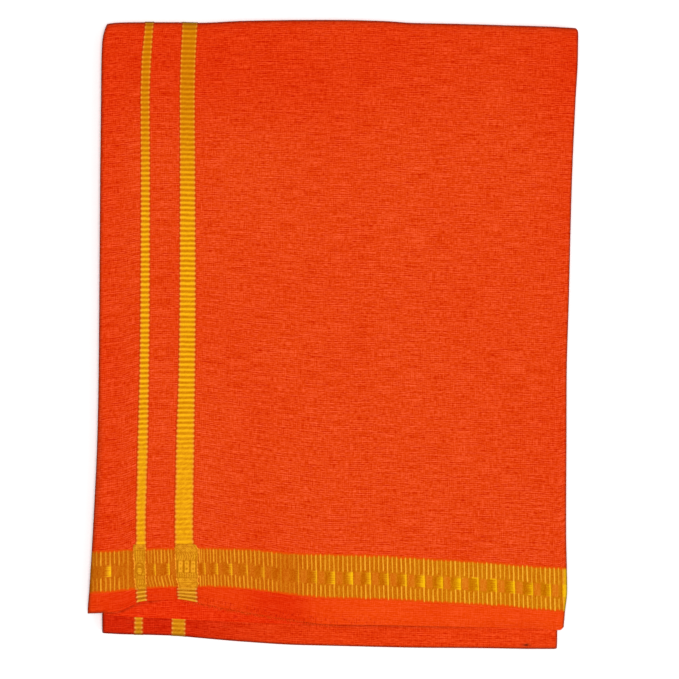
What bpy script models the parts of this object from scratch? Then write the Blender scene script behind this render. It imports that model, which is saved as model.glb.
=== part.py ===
"""A cotton dhoti folded flat into a pack, with its woven gold borders.

The pack lies on its back at z = 0.  +X runs across it, +Y runs from the folded
tail up to the top fold, and +Z is up.  The origin is under the middle of the
pack, on the surface that it rests on.  Heights along the pack are counted from
its lower end.

One outer ply is seen all round: the front panel starts at its cut end, runs up
and over the top fold, the back panel lies underneath, and the tail panel comes
round the lower fold and goes in under the front panel.  Sizes are millimetres
and are turned into metres where the meshes are made.
"""

import math
from collections import namedtuple

import bmesh
import bpy
import numpy as np

MM = 0.001

# --- thicknesses -------------------------------------------------------------
PLY = 1.8               # wall of the outer ply
SECOND_PLY = 1.1        # wall of the ply that shows under the cut end
GAP = 0.3               # clearance between neighbouring pieces
BED = 0.8               # depth of the bed that a woven border lies in
BORDER = 0.5            # a border's own thickness, flush with the cloth
RISE = 0.3              # height of ribs and blocks above the cloth
ROUNDING = 0.45         # how far a ply's edge is rounded on each face
EDGE = 1.0              # width of that rounding

# --- the pack ----------------------------------------------------------------
ORIGIN_HEIGHT = 211.2   # height of the origin above the lower end
PACK_HEIGHT = 12.9
FOLD_SWELL = 0.7        # extra height at the top fold and the right-hand folds
TOP_SWELL_AT = 412.0
TOP_SWELL_SPREAD = 30.0
RIGHT_SWELL_AT = 160.0
RIGHT_SWELL_SPREAD = 28.0
TOP_REACH = 6.0         # how far the top fold bulges past its flat stretch
TAIL_REACH = 5.0
TAIL_SINK = PLY + GAP + SECOND_PLY + GAP    # the tail lies this far below the front
TAIL_COVER = 48.0       # height at which the tail ends under the front panel
SEAM_RUN = 4.0          # flat stretch of each fold on the underside
OVERHANG_DROP = 2.6     # sag of the front's corner where nothing carries it
OVERHANG_REACH = 9.5
LAYER_COUNT = 7         # folded layers that show at the sides
LAYER_INSET = 0.6
LAYER_GROOVE = 0.6
LAYER_TUCK = 0.3        # how far the outermost layers are tucked in behind the grooves

# --- the woven pattern ---------------------------------------------------------
RIB_PITCH = 3.4
BLOCK_PITCH = 12.1      # along the cross band
BLOCK_SQUEEZE = 3.8     # the pitch shrinks by this beside the wide border
SQUEEZE_FROM = -85.0
SQUEEZE_FADE = 30.0
BLOCK_SHARE = 0.48      # part of each pitch that the block fills
BLOCK_SLOPE = 0.4
LAST_BLOCK = 146.5      # right-hand end of the last whole block
LEFT_BLOCKS = ((-110.0, 9.3), (-119.4, 9.3), (-148.9, 12.1))    # ends and pitches
BLOCK_SHARES = (0.31, 0.63)     # the blocks' lower and upper edge in the band
BAND_SHARES = (0.0, 0.29, 0.31, 0.63, 0.65, 1.0)
BAND_MIDDLE = 52.0
BAND_TOP = 66.0
TOP_FOLD = 421.0
CROSSING_REACH = 2.4    # a border is wider by this where it crosses the band
HEM_CLEAR = 0.4         # a border ends this far short of the cut end

# --- grid sizes ----------------------------------------------------------------
FIELD_COLUMNS = 9
BODY_ROWS = 14
FOLD_STEPS = 8
BACK_ROWS = 8
CORE_COLUMNS = 16
CORE_ROWS = 14
RIBBED_TURNS = 12       # rows of a border round a fold
FLOOR_TURNS = 3         # of which these lie against the surface below, without ribs
HEADING_STEPS = 6
TAIL_STEPS = 5
TAIL_SHOWN = 0.27       # part of the tail's upper face that shows
SECOND_COLUMNS = 14
NOSE_ANGLES = (16, 34, 58, 90)
LOWER_SHARES = (0.55, 0.8, 1.0)     # rows of the hidden layers below the tail's end
COVER_SHARES = (0.66, 0.83, 1.0)    # rows of the covered plies up to that end
TAIL_SHARE = 0.48
SMOOTH_BELOW = math.radians(35)

# Outline and border edges across the pack, one row for each height.
Section = namedtuple(
    "Section", "height left narrow_from narrow_to wide_from wide_to right")
FRONT_SECTIONS = (
    Section(12.0, -164.6, -131.3, -124.5, -103.6, -90.5, 155.2),
    Section(23.5, -164.6, -131.3, -124.5, -103.6, -90.5, 156.1),
    Section(39.0, -163.5, -132.0, -124.8, -104.4, -91.0, 157.7),
    Section(79.4, -161.0, -132.0, -125.3, -106.0, -93.5, 157.0),
    Section(139.9, -158.1, -130.9, -123.9, -105.0, -92.8, 157.2),
    Section(180.0, -157.2, -129.8, -123.3, -103.6, -92.3, 157.3),
    Section(234.1, -156.7, -129.1, -122.8, -102.8, -91.9, 158.8),
    Section(314.8, -156.1, -128.8, -122.6, -102.6, -92.2, 160.9),
    Section(368.6, -155.5, -128.9, -122.8, -102.6, -92.5, 163.3),
    Section(395.5, -155.2, -128.2, -121.8, -102.0, -92.0, 164.8),
    Section(408.0, -154.6, -127.0, -121.0, -101.4, -91.4, 165.0),
    Section(414.0, -153.5, -126.3, -120.5, -101.1, -91.0, 165.1),
    Section(419.5, -151.6, -125.8, -120.1, -100.9, -90.7, 165.1),
)
BACK_SECTIONS = (
    Section(0.0, -154.7, -133.6, -127.8, -108.5, -99.1, 150.9),
    Section(60.0, -155.0, -132.4, -126.6, -107.4, -97.8, 151.8),
    Section(210.0, -155.6, -129.4, -123.9, -104.6, -94.6, 156.6),
    Section(320.0, -155.2, -127.9, -122.4, -103.0, -93.0, 159.6),
    Section(395.0, -153.9, -126.5, -121.0, -101.5, -91.4, 163.4),
    Section(408.0, -153.2, -126.1, -120.7, -101.2, -91.1, 163.6),
    Section(418.4, -151.0, -125.9, -120.5, -100.9, -90.8, 163.7),
)

# Edges along the pack, one row for each place across it.
Station = namedtuple(
    "Station", "across tail_fold second_end cut_end band_foot band_top top_fold")
STATIONS = (
    Station(-164.6, 10.0, 22.9, 23.3, 37.2, 64.6, 416.4),
    Station(-154.0, 9.8, 22.5, 23.8, 37.9, 65.1, 419.3),
    Station(-150.0, 9.6, 22.2, 24.3, 38.2, 65.3, 420.1),
    Station(-143.0, 9.2, 21.6, 25.2, 38.8, 65.8, 420.7),
    Station(-128.0, 8.8, 20.7, 31.2, 40.4, 66.5, 420.9),
    Station(-106.0, 8.1, 19.8, 32.8, 41.5, 67.1, 420.9),
    Station(-90.0, 6.7, 18.8, 30.4, 41.8, 67.2, 420.5),
    Station(-62.0, 4.3, 17.5, 24.9, 40.6, 66.7, 421.7),
    Station(-25.0, 2.0, 16.4, 18.9, 36.2, 63.6, 422.4),
    Station(0.0, 1.4, 16.4, 16.0, 34.0, 62.9, 422.5),
    Station(32.0, 0.6, 16.6, 15.7, 33.3, 62.1, 421.8),
    Station(56.0, 0.1, 16.6, 15.1, 31.9, 60.6, 420.4),
    Station(80.0, -0.1, 16.6, 14.6, 30.5, 59.1, 419.9),
    Station(112.0, -0.4, 16.2, 13.9, 28.7, 57.0, 419.0),
    Station(134.0, -0.7, 15.8, 13.2, 26.7, 55.0, 418.4),
    Station(148.0, -0.7, 15.5, 12.4, 25.7, 54.3, 417.9),
    Station(151.5, -0.4, 15.4, 12.1, 25.5, 54.2, 417.7),
    Station(153.8, -0.2, 15.3, 12.5, 25.4, 54.1, 417.5),
    Station(155.4, -0.2, 15.3, 14.2, 25.3, 54.0, 417.4),
    Station(163.6, -0.2, 15.3, 14.2, 25.0, 53.7, 416.9),
    Station(165.2, -0.2, 15.3, 14.2, 25.0, 53.7, 415.0),
)

# Long, low swells of the folded pack: height, and the waves across and along it.
Swell = namedtuple("Swell", "rise across along phase")
SWELLS = (
    Swell(0.30, 210.0, 300.0, 0.6),
    Swell(0.22, 150.0, -390.0, 2.1),
    Swell(0.16, -330.0, 170.0, 4.0),
)

# A column or row of a wall's grid.  `bed` marks the floor of a border's bed,
# and `rim` a rounded edge of the ply.
Column = namedtuple("Column", "start end share shift bed rim")
Row = namedtuple("Row", "place bed rim")


def read(table, key, value):
    """Interpolate one named column of a table."""
    places = np.array([row[0] for row in table])
    numbers = np.array([getattr(row, key) for row in table])
    return float(np.interp(value, places, numbers))


def edges_at(table, height):
    """Every named position across the pack at one height."""
    edges = {key: read(table, key, height) for key in Section._fields[1:]}
    edges["middle"] = 0.0
    edges["stack_left"] = read(BACK_SECTIONS, "left", height)
    edges["stack_right"] = read(BACK_SECTIONS, "right", height)
    return edges


def pack_top(x, y):
    """Height of the front's upper face."""
    top = PACK_HEIGHT
    top += FOLD_SWELL * math.exp(-(((y - TOP_SWELL_AT) / TOP_SWELL_SPREAD) ** 2))
    top += FOLD_SWELL * math.exp(-(((x - RIGHT_SWELL_AT) / RIGHT_SWELL_SPREAD) ** 2))
    for swell in SWELLS:
        turn = x / swell.across + y / swell.along
        top += swell.rise * math.sin(2.0 * math.pi * turn + swell.phase)
    over = max(read(BACK_SECTIONS, "left", y) - x, x - read(BACK_SECTIONS, "right", y), 0.0)
    return top - OVERHANG_DROP * min(over / OVERHANG_REACH, 1.0) ** 1.5


def on_top(start, end, share, shift=0.0, sink=0.0):
    """A row on an upper face, between two named edges along the pack."""
    def place(x, depth):
        first = read(STATIONS, start, x)
        last = read(STATIONS, end, x)
        y = first + (last - first) * share + shift
        return y, pack_top(x, y) - sink - depth
    return place


def at_height(height, sink=0.0):
    """A row on an upper face at one height along the pack."""
    def place(x, depth):
        return height, pack_top(x, height) - sink - depth
    return place


def body_row(share, lift):
    """A row on the front, from a lift above the band to the start of the top fold."""
    def place(x, depth):
        first = read(STATIONS, "band_top", x) + lift
        last = read(STATIONS, "top_fold", x) - TOP_REACH
        y = first + (last - first) * share
        return y, pack_top(x, y) - depth
    return place


def fold_frame(x, fold):
    """Centre, reach, half height and direction of the top or the tail fold."""
    if fold == "top":
        y = read(STATIONS, "top_fold", x) - TOP_REACH
        return y, TOP_REACH, pack_top(x, y) / 2.0, 1.0
    y = read(STATIONS, "tail_fold", x) + TAIL_REACH
    return y, TAIL_REACH, (pack_top(x, y) - TAIL_SINK) / 2.0, -1.0


def on_fold(fold, angle):
    """A row on a fold, from 90 degrees on top to -90 degrees underneath."""
    def place(x, depth):
        y, reach, half, way = fold_frame(x, fold)
        y += way * (reach - depth) * math.cos(angle)
        return y, half + (half - depth) * math.sin(angle)
    return place


def on_floor(fold, run):
    """A row on the underside, a run away from a fold."""
    def place(x, depth):
        y, _, _, way = fold_frame(x, fold)
        return y - way * run, depth
    return place


def under_back(share):
    """A row of the back panel, between the seams of the two folds."""
    def place(x, depth):
        low, _ = on_floor("tail", SEAM_RUN + GAP)(x, depth)
        high, _ = on_floor("top", SEAM_RUN + GAP)(x, depth)
        return low + (high - low) * share, depth
    return place


def fold_angles(steps):
    """Angles of the rows round a fold, without its two flat ends."""
    return [math.pi * (0.5 - step / steps) for step in range(steps + 1)]


def point(table, column, row, depth):
    """A point of the pack where a column crosses a row, at a depth in the ply."""
    x = 0.0
    y, z = row.place(x, depth)
    for _ in range(4):
        edges = edges_at(table, y)
        x = edges[column.start] + (edges[column.end] - edges[column.start]) * column.share
        x += column.shift
        y, z = row.place(x, depth)
    return x * MM, (y - ORIGIN_HEIGHT) * MM, z * MM


def plain_column(edge, shift=0.0, bed=False, rim=False):
    return Column(edge, edge, 0.0, shift, bed, rim)


def bed_columns(border):
    """The two sloped sides of the bed of one border."""
    return [
        plain_column(border + "_from", -2.0 * GAP),
        plain_column(border + "_from", -GAP, bed=True),
        plain_column(border + "_to", GAP, bed=True),
        plain_column(border + "_to", 2.0 * GAP),
    ]


def cloth_columns(overhang):
    """Columns of a panel of the outer ply, from its left edge to its right."""
    if overhang:
        left = [Column("left", "stack_left", share, 0.0, False, share == 0.0)
                for share in (0.0, 0.5, 1.0)]
        right = [Column("stack_right", "right", share, 0.0, False, share == 1.0)
                 for share in (0.0, 0.5, 1.0)]
    else:
        left = [plain_column("left", rim=True), plain_column("left", EDGE)]
        right = [plain_column("right", -EDGE), plain_column("right", rim=True)]
    field = [Column("wide_to", "stack_right", step / FIELD_COLUMNS, 0.0, False, False)
             for step in range(1, FIELD_COLUMNS)]
    return (left
            + [Column("stack_left", "narrow_from", 0.5, 0.0, False, False)]
            + bed_columns("narrow")
            + [Column("narrow_to", "wide_from", 0.5, 0.0, False, False)]
            + bed_columns("wide")
            + field
            + right)


def make_object(name, grid_faces, points, material):
    """One closed, smooth-shaded object from points and faces."""
    shape = bmesh.new()
    corners = [shape.verts.new(place) for place in points]
    for face in grid_faces:
        shape.faces.new([corners[number] for number in face])
    bmesh.ops.triangulate(shape, faces=shape.faces[:], quad_method="FIXED")
    bmesh.ops.recalc_face_normals(shape, faces=shape.faces[:])
    if shape.calc_volume(signed=True) < 0.0:
        bmesh.ops.reverse_faces(shape, faces=shape.faces[:])
    mesh = bpy.data.meshes.new(name)
    shape.to_mesh(mesh)
    shape.free()
    mesh.shade_smooth()
    mesh.set_sharp_from_angle(angle=SMOOTH_BELOW)
    mesh.materials.append(material)
    piece = bpy.data.objects.new(name, mesh)
    bpy.context.scene.collection.objects.link(piece)
    piece.parent = bpy.data.objects["dhoti_cloth"]
    return piece


def close_wall(name, outer, inner, material):
    """Join two matching grids of points into one wall with four rims."""
    rows = len(outer)
    columns = len(outer[0])
    points = [place for grid in (outer, inner) for line in grid for place in line]

    def number(side, row, column):
        return side * rows * columns + row * columns + column

    faces = []
    for row in range(rows - 1):
        for column in range(columns - 1):
            around = ((row, column), (row, column + 1), (row + 1, column + 1), (row + 1, column))
            faces.append([number(0, *corner) for corner in around])
            faces.append([number(1, *corner) for corner in reversed(around)])
    for row in range(rows - 1):
        for column in (0, columns - 1):
            faces.append([number(0, row, column), number(1, row, column),
                          number(1, row + 1, column), number(0, row + 1, column)])
    for column in range(columns - 1):
        for row in (0, rows - 1):
            faces.append([number(0, row, column), number(0, row, column + 1),
                          number(1, row, column + 1), number(1, row, column)])
    return make_object(name, faces, points, material)


def panel(name, table, columns, rows, thickness, material):
    """A panel of one ply: beds in its outer face, a plain inner face."""
    outer = []
    inner = []
    for row in rows:
        outer_line = []
        inner_line = []
        for column in columns:
            trim = ROUNDING if column.rim or row.rim else 0.0
            depth = BED if column.bed or row.bed else trim
            outer_line.append(point(table, column, row, depth))
            inner_line.append(point(table, column, row, thickness - trim))
        outer.append(outer_line)
        inner.append(inner_line)
    return close_wall(name, outer, inner, material)


def front_panel(material):
    """The ply from its cut end, up the front and over the top fold."""
    rows = [
        Row(on_top("cut_end", "cut_end", 0.0), False, True),
        Row(on_top("cut_end", "cut_end", 0.0, EDGE), False, False),
        Row(on_top("band_foot", "band_foot", 0.0, -2.0 * GAP), False, False),
        Row(on_top("band_foot", "band_foot", 0.0, -GAP), True, False),
        Row(on_top("band_foot", "band_top", 0.5), True, False),
        Row(on_top("band_top", "band_top", 0.0, GAP), True, False),
    ]
    rows += [Row(body_row(step / BODY_ROWS, 2.0 * GAP), False, False)
             for step in range(BODY_ROWS)]
    rows += [Row(on_fold("top", angle), False, False) for angle in fold_angles(FOLD_STEPS)]
    rows += [Row(on_floor("top", SEAM_RUN), False, False)]
    panel("front_panel", FRONT_SECTIONS, cloth_columns(True), rows, PLY, material)


def back_panel(material):
    """The ply underneath, flat where the pack rests."""
    rows = [Row(under_back(step / BACK_ROWS), False, False) for step in range(BACK_ROWS + 1)]
    panel("back_panel", BACK_SECTIONS, cloth_columns(False), rows, PLY, material)


def tail_panel(material):
    """The ply round the lower fold, which shows below the front's cut end."""
    cover = TAIL_COVER - GAP
    rows = [Row(on_floor("tail", SEAM_RUN), False, False)]
    rows += [Row(on_fold("tail", angle), False, False)
             for angle in reversed(fold_angles(FOLD_STEPS))]
    rows += [Row(at_height(cover * share, TAIL_SINK), False, False)
             for share in (TAIL_SHARE,) + COVER_SHARES]
    panel("tail_panel", BACK_SECTIONS, cloth_columns(False), rows, PLY, material)


def second_ply(material):
    """The plain end of the next ply, which shows below the cut end on the left."""
    sink = PLY + GAP
    columns = [plain_column("left", GAP, rim=True), plain_column("left", GAP + EDGE)]
    columns += [Column("left", "right", step / SECOND_COLUMNS, 0.0, False, False)
                for step in range(1, SECOND_COLUMNS)]
    columns += [plain_column("right", -GAP - EDGE), plain_column("right", -GAP, rim=True)]
    rows = [Row(on_top("second_end", "second_end", 0.0, 0.0, sink), False, True),
            Row(on_top("second_end", "second_end", 0.0, EDGE, sink), False, False)]
    rows += [Row(at_height((TAIL_COVER - GAP) * share, sink), False, False)
             for share in COVER_SHARES]
    panel("second_ply", BACK_SECTIONS, columns, rows, SECOND_PLY, material)


def border_strip(name, table, border, rows, material):
    """A woven border in its bed, raised by a rib at each row that is a rim."""
    columns = [plain_column(border + "_from"), plain_column(border + "_to")]
    outer = [[point(table, column, row, -RISE if row.rim else 0.0) for column in columns]
             for row in rows]
    inner = [[point(table, column, row, BORDER) for column in columns] for row in rows]
    close_wall(name, outer, inner, material)


def ribbed(places):
    """Rows at the given places, alternately between ribs and on a rib."""
    return [Row(place, False, number % 2 == 1) for number, place in enumerate(places)]


def plain(places):
    """Rows at the given places, without ribs."""
    return [Row(place, False, False) for place in places]


def front_border(name, border, material):
    """The stretch above the band, up and over the top fold."""
    length = TOP_FOLD - TOP_REACH - BAND_TOP
    steps = 2 * round(length / RIB_PITCH)
    rows = ribbed([body_row(step / steps, GAP) for step in range(steps)])
    angles = fold_angles(RIBBED_TURNS)
    upper = angles[:-FLOOR_TURNS]
    lower = angles[-FLOOR_TURNS:]
    rows += ribbed([on_fold("top", angle) for angle in upper])
    rows += plain([on_fold("top", angle) for angle in lower] + [on_floor("top", SEAM_RUN)])
    border_strip(name, FRONT_SECTIONS, border, rows, material)


def heading_border(name, border, material):
    """The short ribbed end below the band."""
    clear = GAP + HEM_CLEAR
    places = [on_top("cut_end", "band_foot", step / HEADING_STEPS,
                     HEM_CLEAR - clear * step / HEADING_STEPS)
              for step in range(HEADING_STEPS + 1)]
    border_strip(name, FRONT_SECTIONS, border, ribbed(places), material)


def back_border(name, border, material):
    """The plain stretch underneath, flush with the surface it rests on."""
    rows = plain([under_back(step / BACK_ROWS) for step in range(BACK_ROWS + 1)])
    border_strip(name, BACK_SECTIONS, border, rows, material)


def tail_row(share):
    """A row on top of the tail, from its fold to its covered end."""
    def place(x, depth):
        first = fold_frame(x, "tail")[0]
        y = first + (TAIL_COVER - GAP - first) * share
        return y, pack_top(x, y) - TAIL_SINK - depth
    return place


def tail_border(name, border, material):
    """The stretch round the tail fold and on under the front's edge."""
    angles = list(reversed(fold_angles(RIBBED_TURNS)))
    rows = plain([on_floor("tail", SEAM_RUN)]
                 + [on_fold("tail", angle) for angle in angles[:FLOOR_TURNS]])
    rows += ribbed([on_fold("tail", angle) for angle in angles[FLOOR_TURNS:-1]]
                   + [tail_row(TAIL_SHOWN * step / TAIL_STEPS) for step in range(TAIL_STEPS)])
    rows += plain([tail_row(TAIL_SHOWN), tail_row(1.0)])
    border_strip(name, BACK_SECTIONS, border, rows, material)


def block_ends():
    """Right-hand ends and pitches of the band's blocks, from the right edge."""
    ends = list(LEFT_BLOCKS)
    x = LAST_BLOCK
    while x > SQUEEZE_FROM:
        pitch = BLOCK_PITCH - BLOCK_SQUEEZE * math.exp(-(x - SQUEEZE_FROM) / SQUEEZE_FADE)
        ends.append((x, pitch))
        x -= pitch
    return ends


def raised_spans():
    """Stretches of the band's middle row that stand up, from left to right."""
    spans = [(x - pitch * BLOCK_SHARE, x) for x, pitch in block_ends()]
    return sorted(spans)


def crossing_spans():
    """Stretches where a border crosses the band and the weave is dense."""
    spans = []
    for border in ("narrow", "wide"):
        start = read(FRONT_SECTIONS, border + "_from", BAND_MIDDLE) - CROSSING_REACH
        end = read(FRONT_SECTIONS, border + "_to", BAND_MIDDLE) + CROSSING_REACH
        spans.append((start, end))
    return spans


def cross_band(material):
    """The band across the front, with raised blocks and dense crossings."""
    crossings = crossing_spans()
    apart = 3.0 * BLOCK_SLOPE
    clear = [(start, end) for start, end in raised_spans()
             if all(end + apart < low or start - apart > high for low, high in crossings)]
    columns = [(Column("left", "stack_left", share, 0.0, False, False), "low")
               for share in (0.0, 0.5, 1.0)]
    for (start, end), kind in sorted([(span, "block") for span in clear]
                                     + [(span, "crossing") for span in crossings]):
        for x, height in ((start - BLOCK_SLOPE, "low"), (start, kind),
                          (end, kind), (end + BLOCK_SLOPE, "low")):
            columns.append((plain_column("middle", x), height))
    columns += [(Column("stack_right", "right", share, 0.0, False, False), "low")
                for share in (0.0, 0.5, 1.0)]
    outer = []
    inner = []
    for share in BAND_SHARES:
        row = Row(on_top("band_foot", "band_top", share), False, False)
        middle = share in BLOCK_SHARES
        outer_line = []
        for column, height in columns:
            raised = height == "crossing" or (height == "block" and middle)
            outer_line.append(point(FRONT_SECTIONS, column, row, -RISE if raised else 0.0))
        outer.append(outer_line)
        inner.append([point(FRONT_SECTIONS, column, row, BORDER) for column, _ in columns])
    close_wall("cross_band", outer, inner, material)


def core_stations():
    """Rows of the hidden layers: the upper and the lower place of each."""
    nose = [math.radians(angle) for angle in NOSE_ANGLES]
    lower = [(on_fold("tail", angle), on_fold("tail", -angle)) for angle in nose]

    def floor(height):
        def place(x, depth):
            return height, depth
        return place

    heights = [TAIL_COVER * share for share in LOWER_SHARES]
    lower += [(at_height(height, TAIL_SINK), floor(height)) for height in heights]
    first = TAIL_COVER + GAP

    def high(share):
        def place(x, depth):
            last = fold_frame(x, "top")[0]
            y = first + (last - first) * share
            return y, pack_top(x, y) - depth
        return place

    def low(share):
        def place(x, depth):
            return high(share)(x, depth)[0], depth
        return place

    upper = [(high(step / CORE_ROWS), low(step / CORE_ROWS)) for step in range(CORE_ROWS)]
    upper += [(on_fold("top", angle), on_fold("top", -angle)) for angle in reversed(nose)]
    return lower + upper


def hidden_layers(material):
    """The folded layers inside, as one solid with their edges at each side."""
    stations = core_stations()
    inset = PLY + GAP
    points = []
    for station, (upper, lower) in enumerate(stations):
        low_line = []
        high_line = []
        for step in range(CORE_COLUMNS + 1):
            share = step / CORE_COLUMNS
            shift = (1.0 - 2.0 * share) * (LAYER_INSET + LAYER_GROOVE + LAYER_TUCK)
            column = Column("left", "right", share, shift, False, False)
            low_line.append(point(BACK_SECTIONS, column, Row(lower, False, False), inset))
            high_line.append(point(BACK_SECTIONS, column, Row(upper, False, False), inset))
        groove = 0.0 if station in (0, len(stations) - 1) else LAYER_GROOVE
        right = layer_edge(low_line[-1], high_line[-1], groove, 1.0)
        left = layer_edge(high_line[0], low_line[0], groove, -1.0)
        points += low_line + right + list(reversed(high_line)) + left
    ring = len(points) // len(stations)
    faces = []
    for row in range(len(stations) - 1):
        for step in range(ring):
            after = (step + 1) % ring
            faces.append([row * ring + step, row * ring + after,
                          (row + 1) * ring + after, (row + 1) * ring + step])
    for start in (0, (len(stations) - 1) * ring):
        faces += core_cap(start, ring)
    make_object("hidden_layers", faces, points, material)


def layer_edge(first, last, groove, way):
    """Points up one side of the core, out on each layer and in between them."""
    places = []
    steps = 2 * LAYER_COUNT
    for step in range(1, steps):
        share = step / steps
        out = way * (LAYER_TUCK + (groove if step % 2 == 1 else 0.0)) * MM
        places.append((first[0] + (last[0] - first[0]) * share + out,
                       first[1] + (last[1] - first[1]) * share,
                       first[2] + (last[2] - first[2]) * share))
    return places


def core_cap(start, ring):
    """Faces that close one end of the core."""
    across = CORE_COLUMNS
    side = 2 * LAYER_COUNT - 1
    high_right = across + side + 1
    high_left = high_right + across
    faces = []
    for step in range(across):
        faces.append([start + step, start + step + 1,
                      start + high_left - step - 1, start + high_left - step])
    for corner in (across, high_left):
        faces += [[start + corner, start + (corner + step) % ring, start + (corner + step + 1) % ring]
                  for step in range(1, side + 1)]
    return faces


def finish(name, colour, roughness, metallic=0.0):
    """A plain material of one colour."""
    material = bpy.data.materials.new(name)
    material.use_nodes = True
    shader = material.node_tree.nodes["Principled BSDF"]
    shader.inputs["Base Color"].default_value = (*colour, 1.0)
    shader.inputs["Roughness"].default_value = roughness
    shader.inputs["Metallic"].default_value = metallic
    return material


def build():
    for piece in list(bpy.data.objects):
        bpy.data.objects.remove(piece, do_unlink=True)
    pack = bpy.data.objects.new("dhoti_cloth", None)
    bpy.context.scene.collection.objects.link(pack)
    orange = (0.80, 0.065, 0.008)
    gold = (0.68, 0.30, 0.012)
    bronze = (0.50, 0.18, 0.010)
    front_panel(finish("front cotton", orange, 0.85))
    back_panel(finish("back cotton", orange, 0.85))
    tail_panel(finish("tail cotton", orange, 0.85))
    second_ply(finish("second ply cotton", orange, 0.85))
    hidden_layers(finish("hidden cotton", orange, 0.88))
    cross_band(finish("band zari", bronze, 0.45, 0.3))
    for border in ("narrow", "wide"):
        front_border(border + "_border_front", border, finish(border + " front zari", gold, 0.42, 0.3))
        heading_border(border + "_border_heading", border,
                       finish(border + " heading zari", gold, 0.42, 0.3))
        back_border(border + "_border_back", border, finish(border + " back zari", gold, 0.42, 0.3))
        tail_border(border + "_border_tail", border, finish(border + " tail zari", gold, 0.42, 0.3))


build()
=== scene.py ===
"""The looks of a folded cotton dhoti with woven gold borders, around its CAD frame.

The cloth is one long length: four plies across, rolled flat into five panels.
Only thin sheets are modelled.  One outer ply is seen on the front, round the
top fold, underneath and round the tail; the folded edges of all the plies show
at the two sides.  Tables are in millimetres, with heights counted from the lower
end of the pack, and are turned into metres where a mesh is made.
"""

import math
from collections import namedtuple

import bpy
import numpy as np
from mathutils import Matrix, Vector


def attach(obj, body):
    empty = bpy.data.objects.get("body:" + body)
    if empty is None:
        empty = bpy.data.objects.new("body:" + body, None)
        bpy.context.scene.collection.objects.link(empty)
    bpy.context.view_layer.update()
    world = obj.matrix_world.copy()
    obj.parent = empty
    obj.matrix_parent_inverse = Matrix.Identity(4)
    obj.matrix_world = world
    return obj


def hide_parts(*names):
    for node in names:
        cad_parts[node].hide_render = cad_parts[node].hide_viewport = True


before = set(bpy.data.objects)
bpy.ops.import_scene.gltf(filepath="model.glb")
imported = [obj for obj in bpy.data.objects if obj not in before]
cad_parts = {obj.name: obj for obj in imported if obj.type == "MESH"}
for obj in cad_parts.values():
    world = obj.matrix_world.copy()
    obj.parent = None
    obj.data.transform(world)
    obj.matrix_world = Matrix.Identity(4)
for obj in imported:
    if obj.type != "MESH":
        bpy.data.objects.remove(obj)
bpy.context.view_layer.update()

MM = 0.001
ORIGIN_HEIGHT = 211.2
MID_HEIGHT = 200.0


def rows_of(kind, rows):
    """A table whose rows have the kind's named columns."""
    return tuple(kind(*row) for row in rows)


# --- the pack, as in the CAD ---
PACK_HEIGHT = 12.9
FOLD_SWELL = 0.7
TOP_SWELL_AT = 412.0
TOP_SWELL_SPREAD = 30.0
RIGHT_SWELL_AT = 160.0
RIGHT_SWELL_SPREAD = 28.0
TOP_REACH = 6.0
TAIL_REACH = 5.0
TAIL_SINK = 3.5
TAIL_COVER = 48.0
SECOND_SINK = 2.1
SEAM_RUN = 4.0
OVERHANG_DROP = 2.6
OVERHANG_REACH = 9.5

# --- the cloth ---
THICK = 0.4             # one ply
FOLD_ROUND = 0.62       # radius of the outer ply's fold along the right side
RETURN = 14.0           # how far that fold is followed back inside
END_DROOP = 1.40        # the cut end sinks by this on to the ply below
BARE_DROOP = 1.5        # and by this much more where it lies on the tail itself
END_RUN = 5.0
FRONT_STEPS = 200       # rows of each stretch
UNDER_STEPS = 90
TAIL_STEPS = 60
BORDER_STEPS = 820
HEADING_STEPS = 30

Section = namedtuple(
    "Section", "height left narrow_from narrow_to wide_from wide_to right")
FRONT_SECTIONS = rows_of(Section, (
    (12.0, -164.6, -131.3, -124.5, -103.6, -90.5, 155.2),
    (23.5, -164.6, -131.3, -124.5, -103.6, -90.5, 156.1),
    (39.0, -163.5, -132.0, -124.8, -104.4, -91.0, 157.7),
    (79.4, -161.0, -132.0, -125.3, -106.0, -93.5, 157.0),
    (139.9, -158.1, -130.9, -123.9, -105.0, -92.8, 157.2),
    (180.0, -157.2, -129.8, -123.3, -103.6, -92.3, 157.3),
    (234.1, -156.7, -129.1, -122.8, -102.8, -91.9, 158.8),
    (314.8, -156.1, -128.8, -122.6, -102.6, -92.2, 160.9),
    (368.6, -155.5, -128.9, -122.8, -102.6, -92.5, 163.3),
    (395.5, -155.2, -128.2, -121.8, -102.0, -92.0, 164.8),
    (408.0, -154.6, -127.0, -121.0, -101.4, -91.4, 165.0),
    (414.0, -153.5, -126.3, -120.5, -101.1, -91.0, 165.1),
    (419.5, -151.6, -125.8, -120.1, -100.9, -90.7, 165.1),
))
BACK_SECTIONS = rows_of(Section, (
    (0.0, -154.7, -133.6, -127.8, -108.5, -99.1, 150.9),
    (60.0, -155.0, -132.4, -126.6, -107.4, -97.8, 151.8),
    (210.0, -155.6, -129.4, -123.9, -104.6, -94.6, 156.6),
    (320.0, -155.2, -127.9, -122.4, -103.0, -93.0, 159.6),
    (395.0, -153.9, -126.5, -121.0, -101.5, -91.4, 163.4),
    (408.0, -153.2, -126.1, -120.7, -101.2, -91.1, 163.6),
    (418.4, -151.0, -125.9, -120.5, -100.9, -90.8, 163.7),
))
Station = namedtuple(
    "Station", "across tail_fold second_end cut_end band_foot band_top top_fold")
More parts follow.
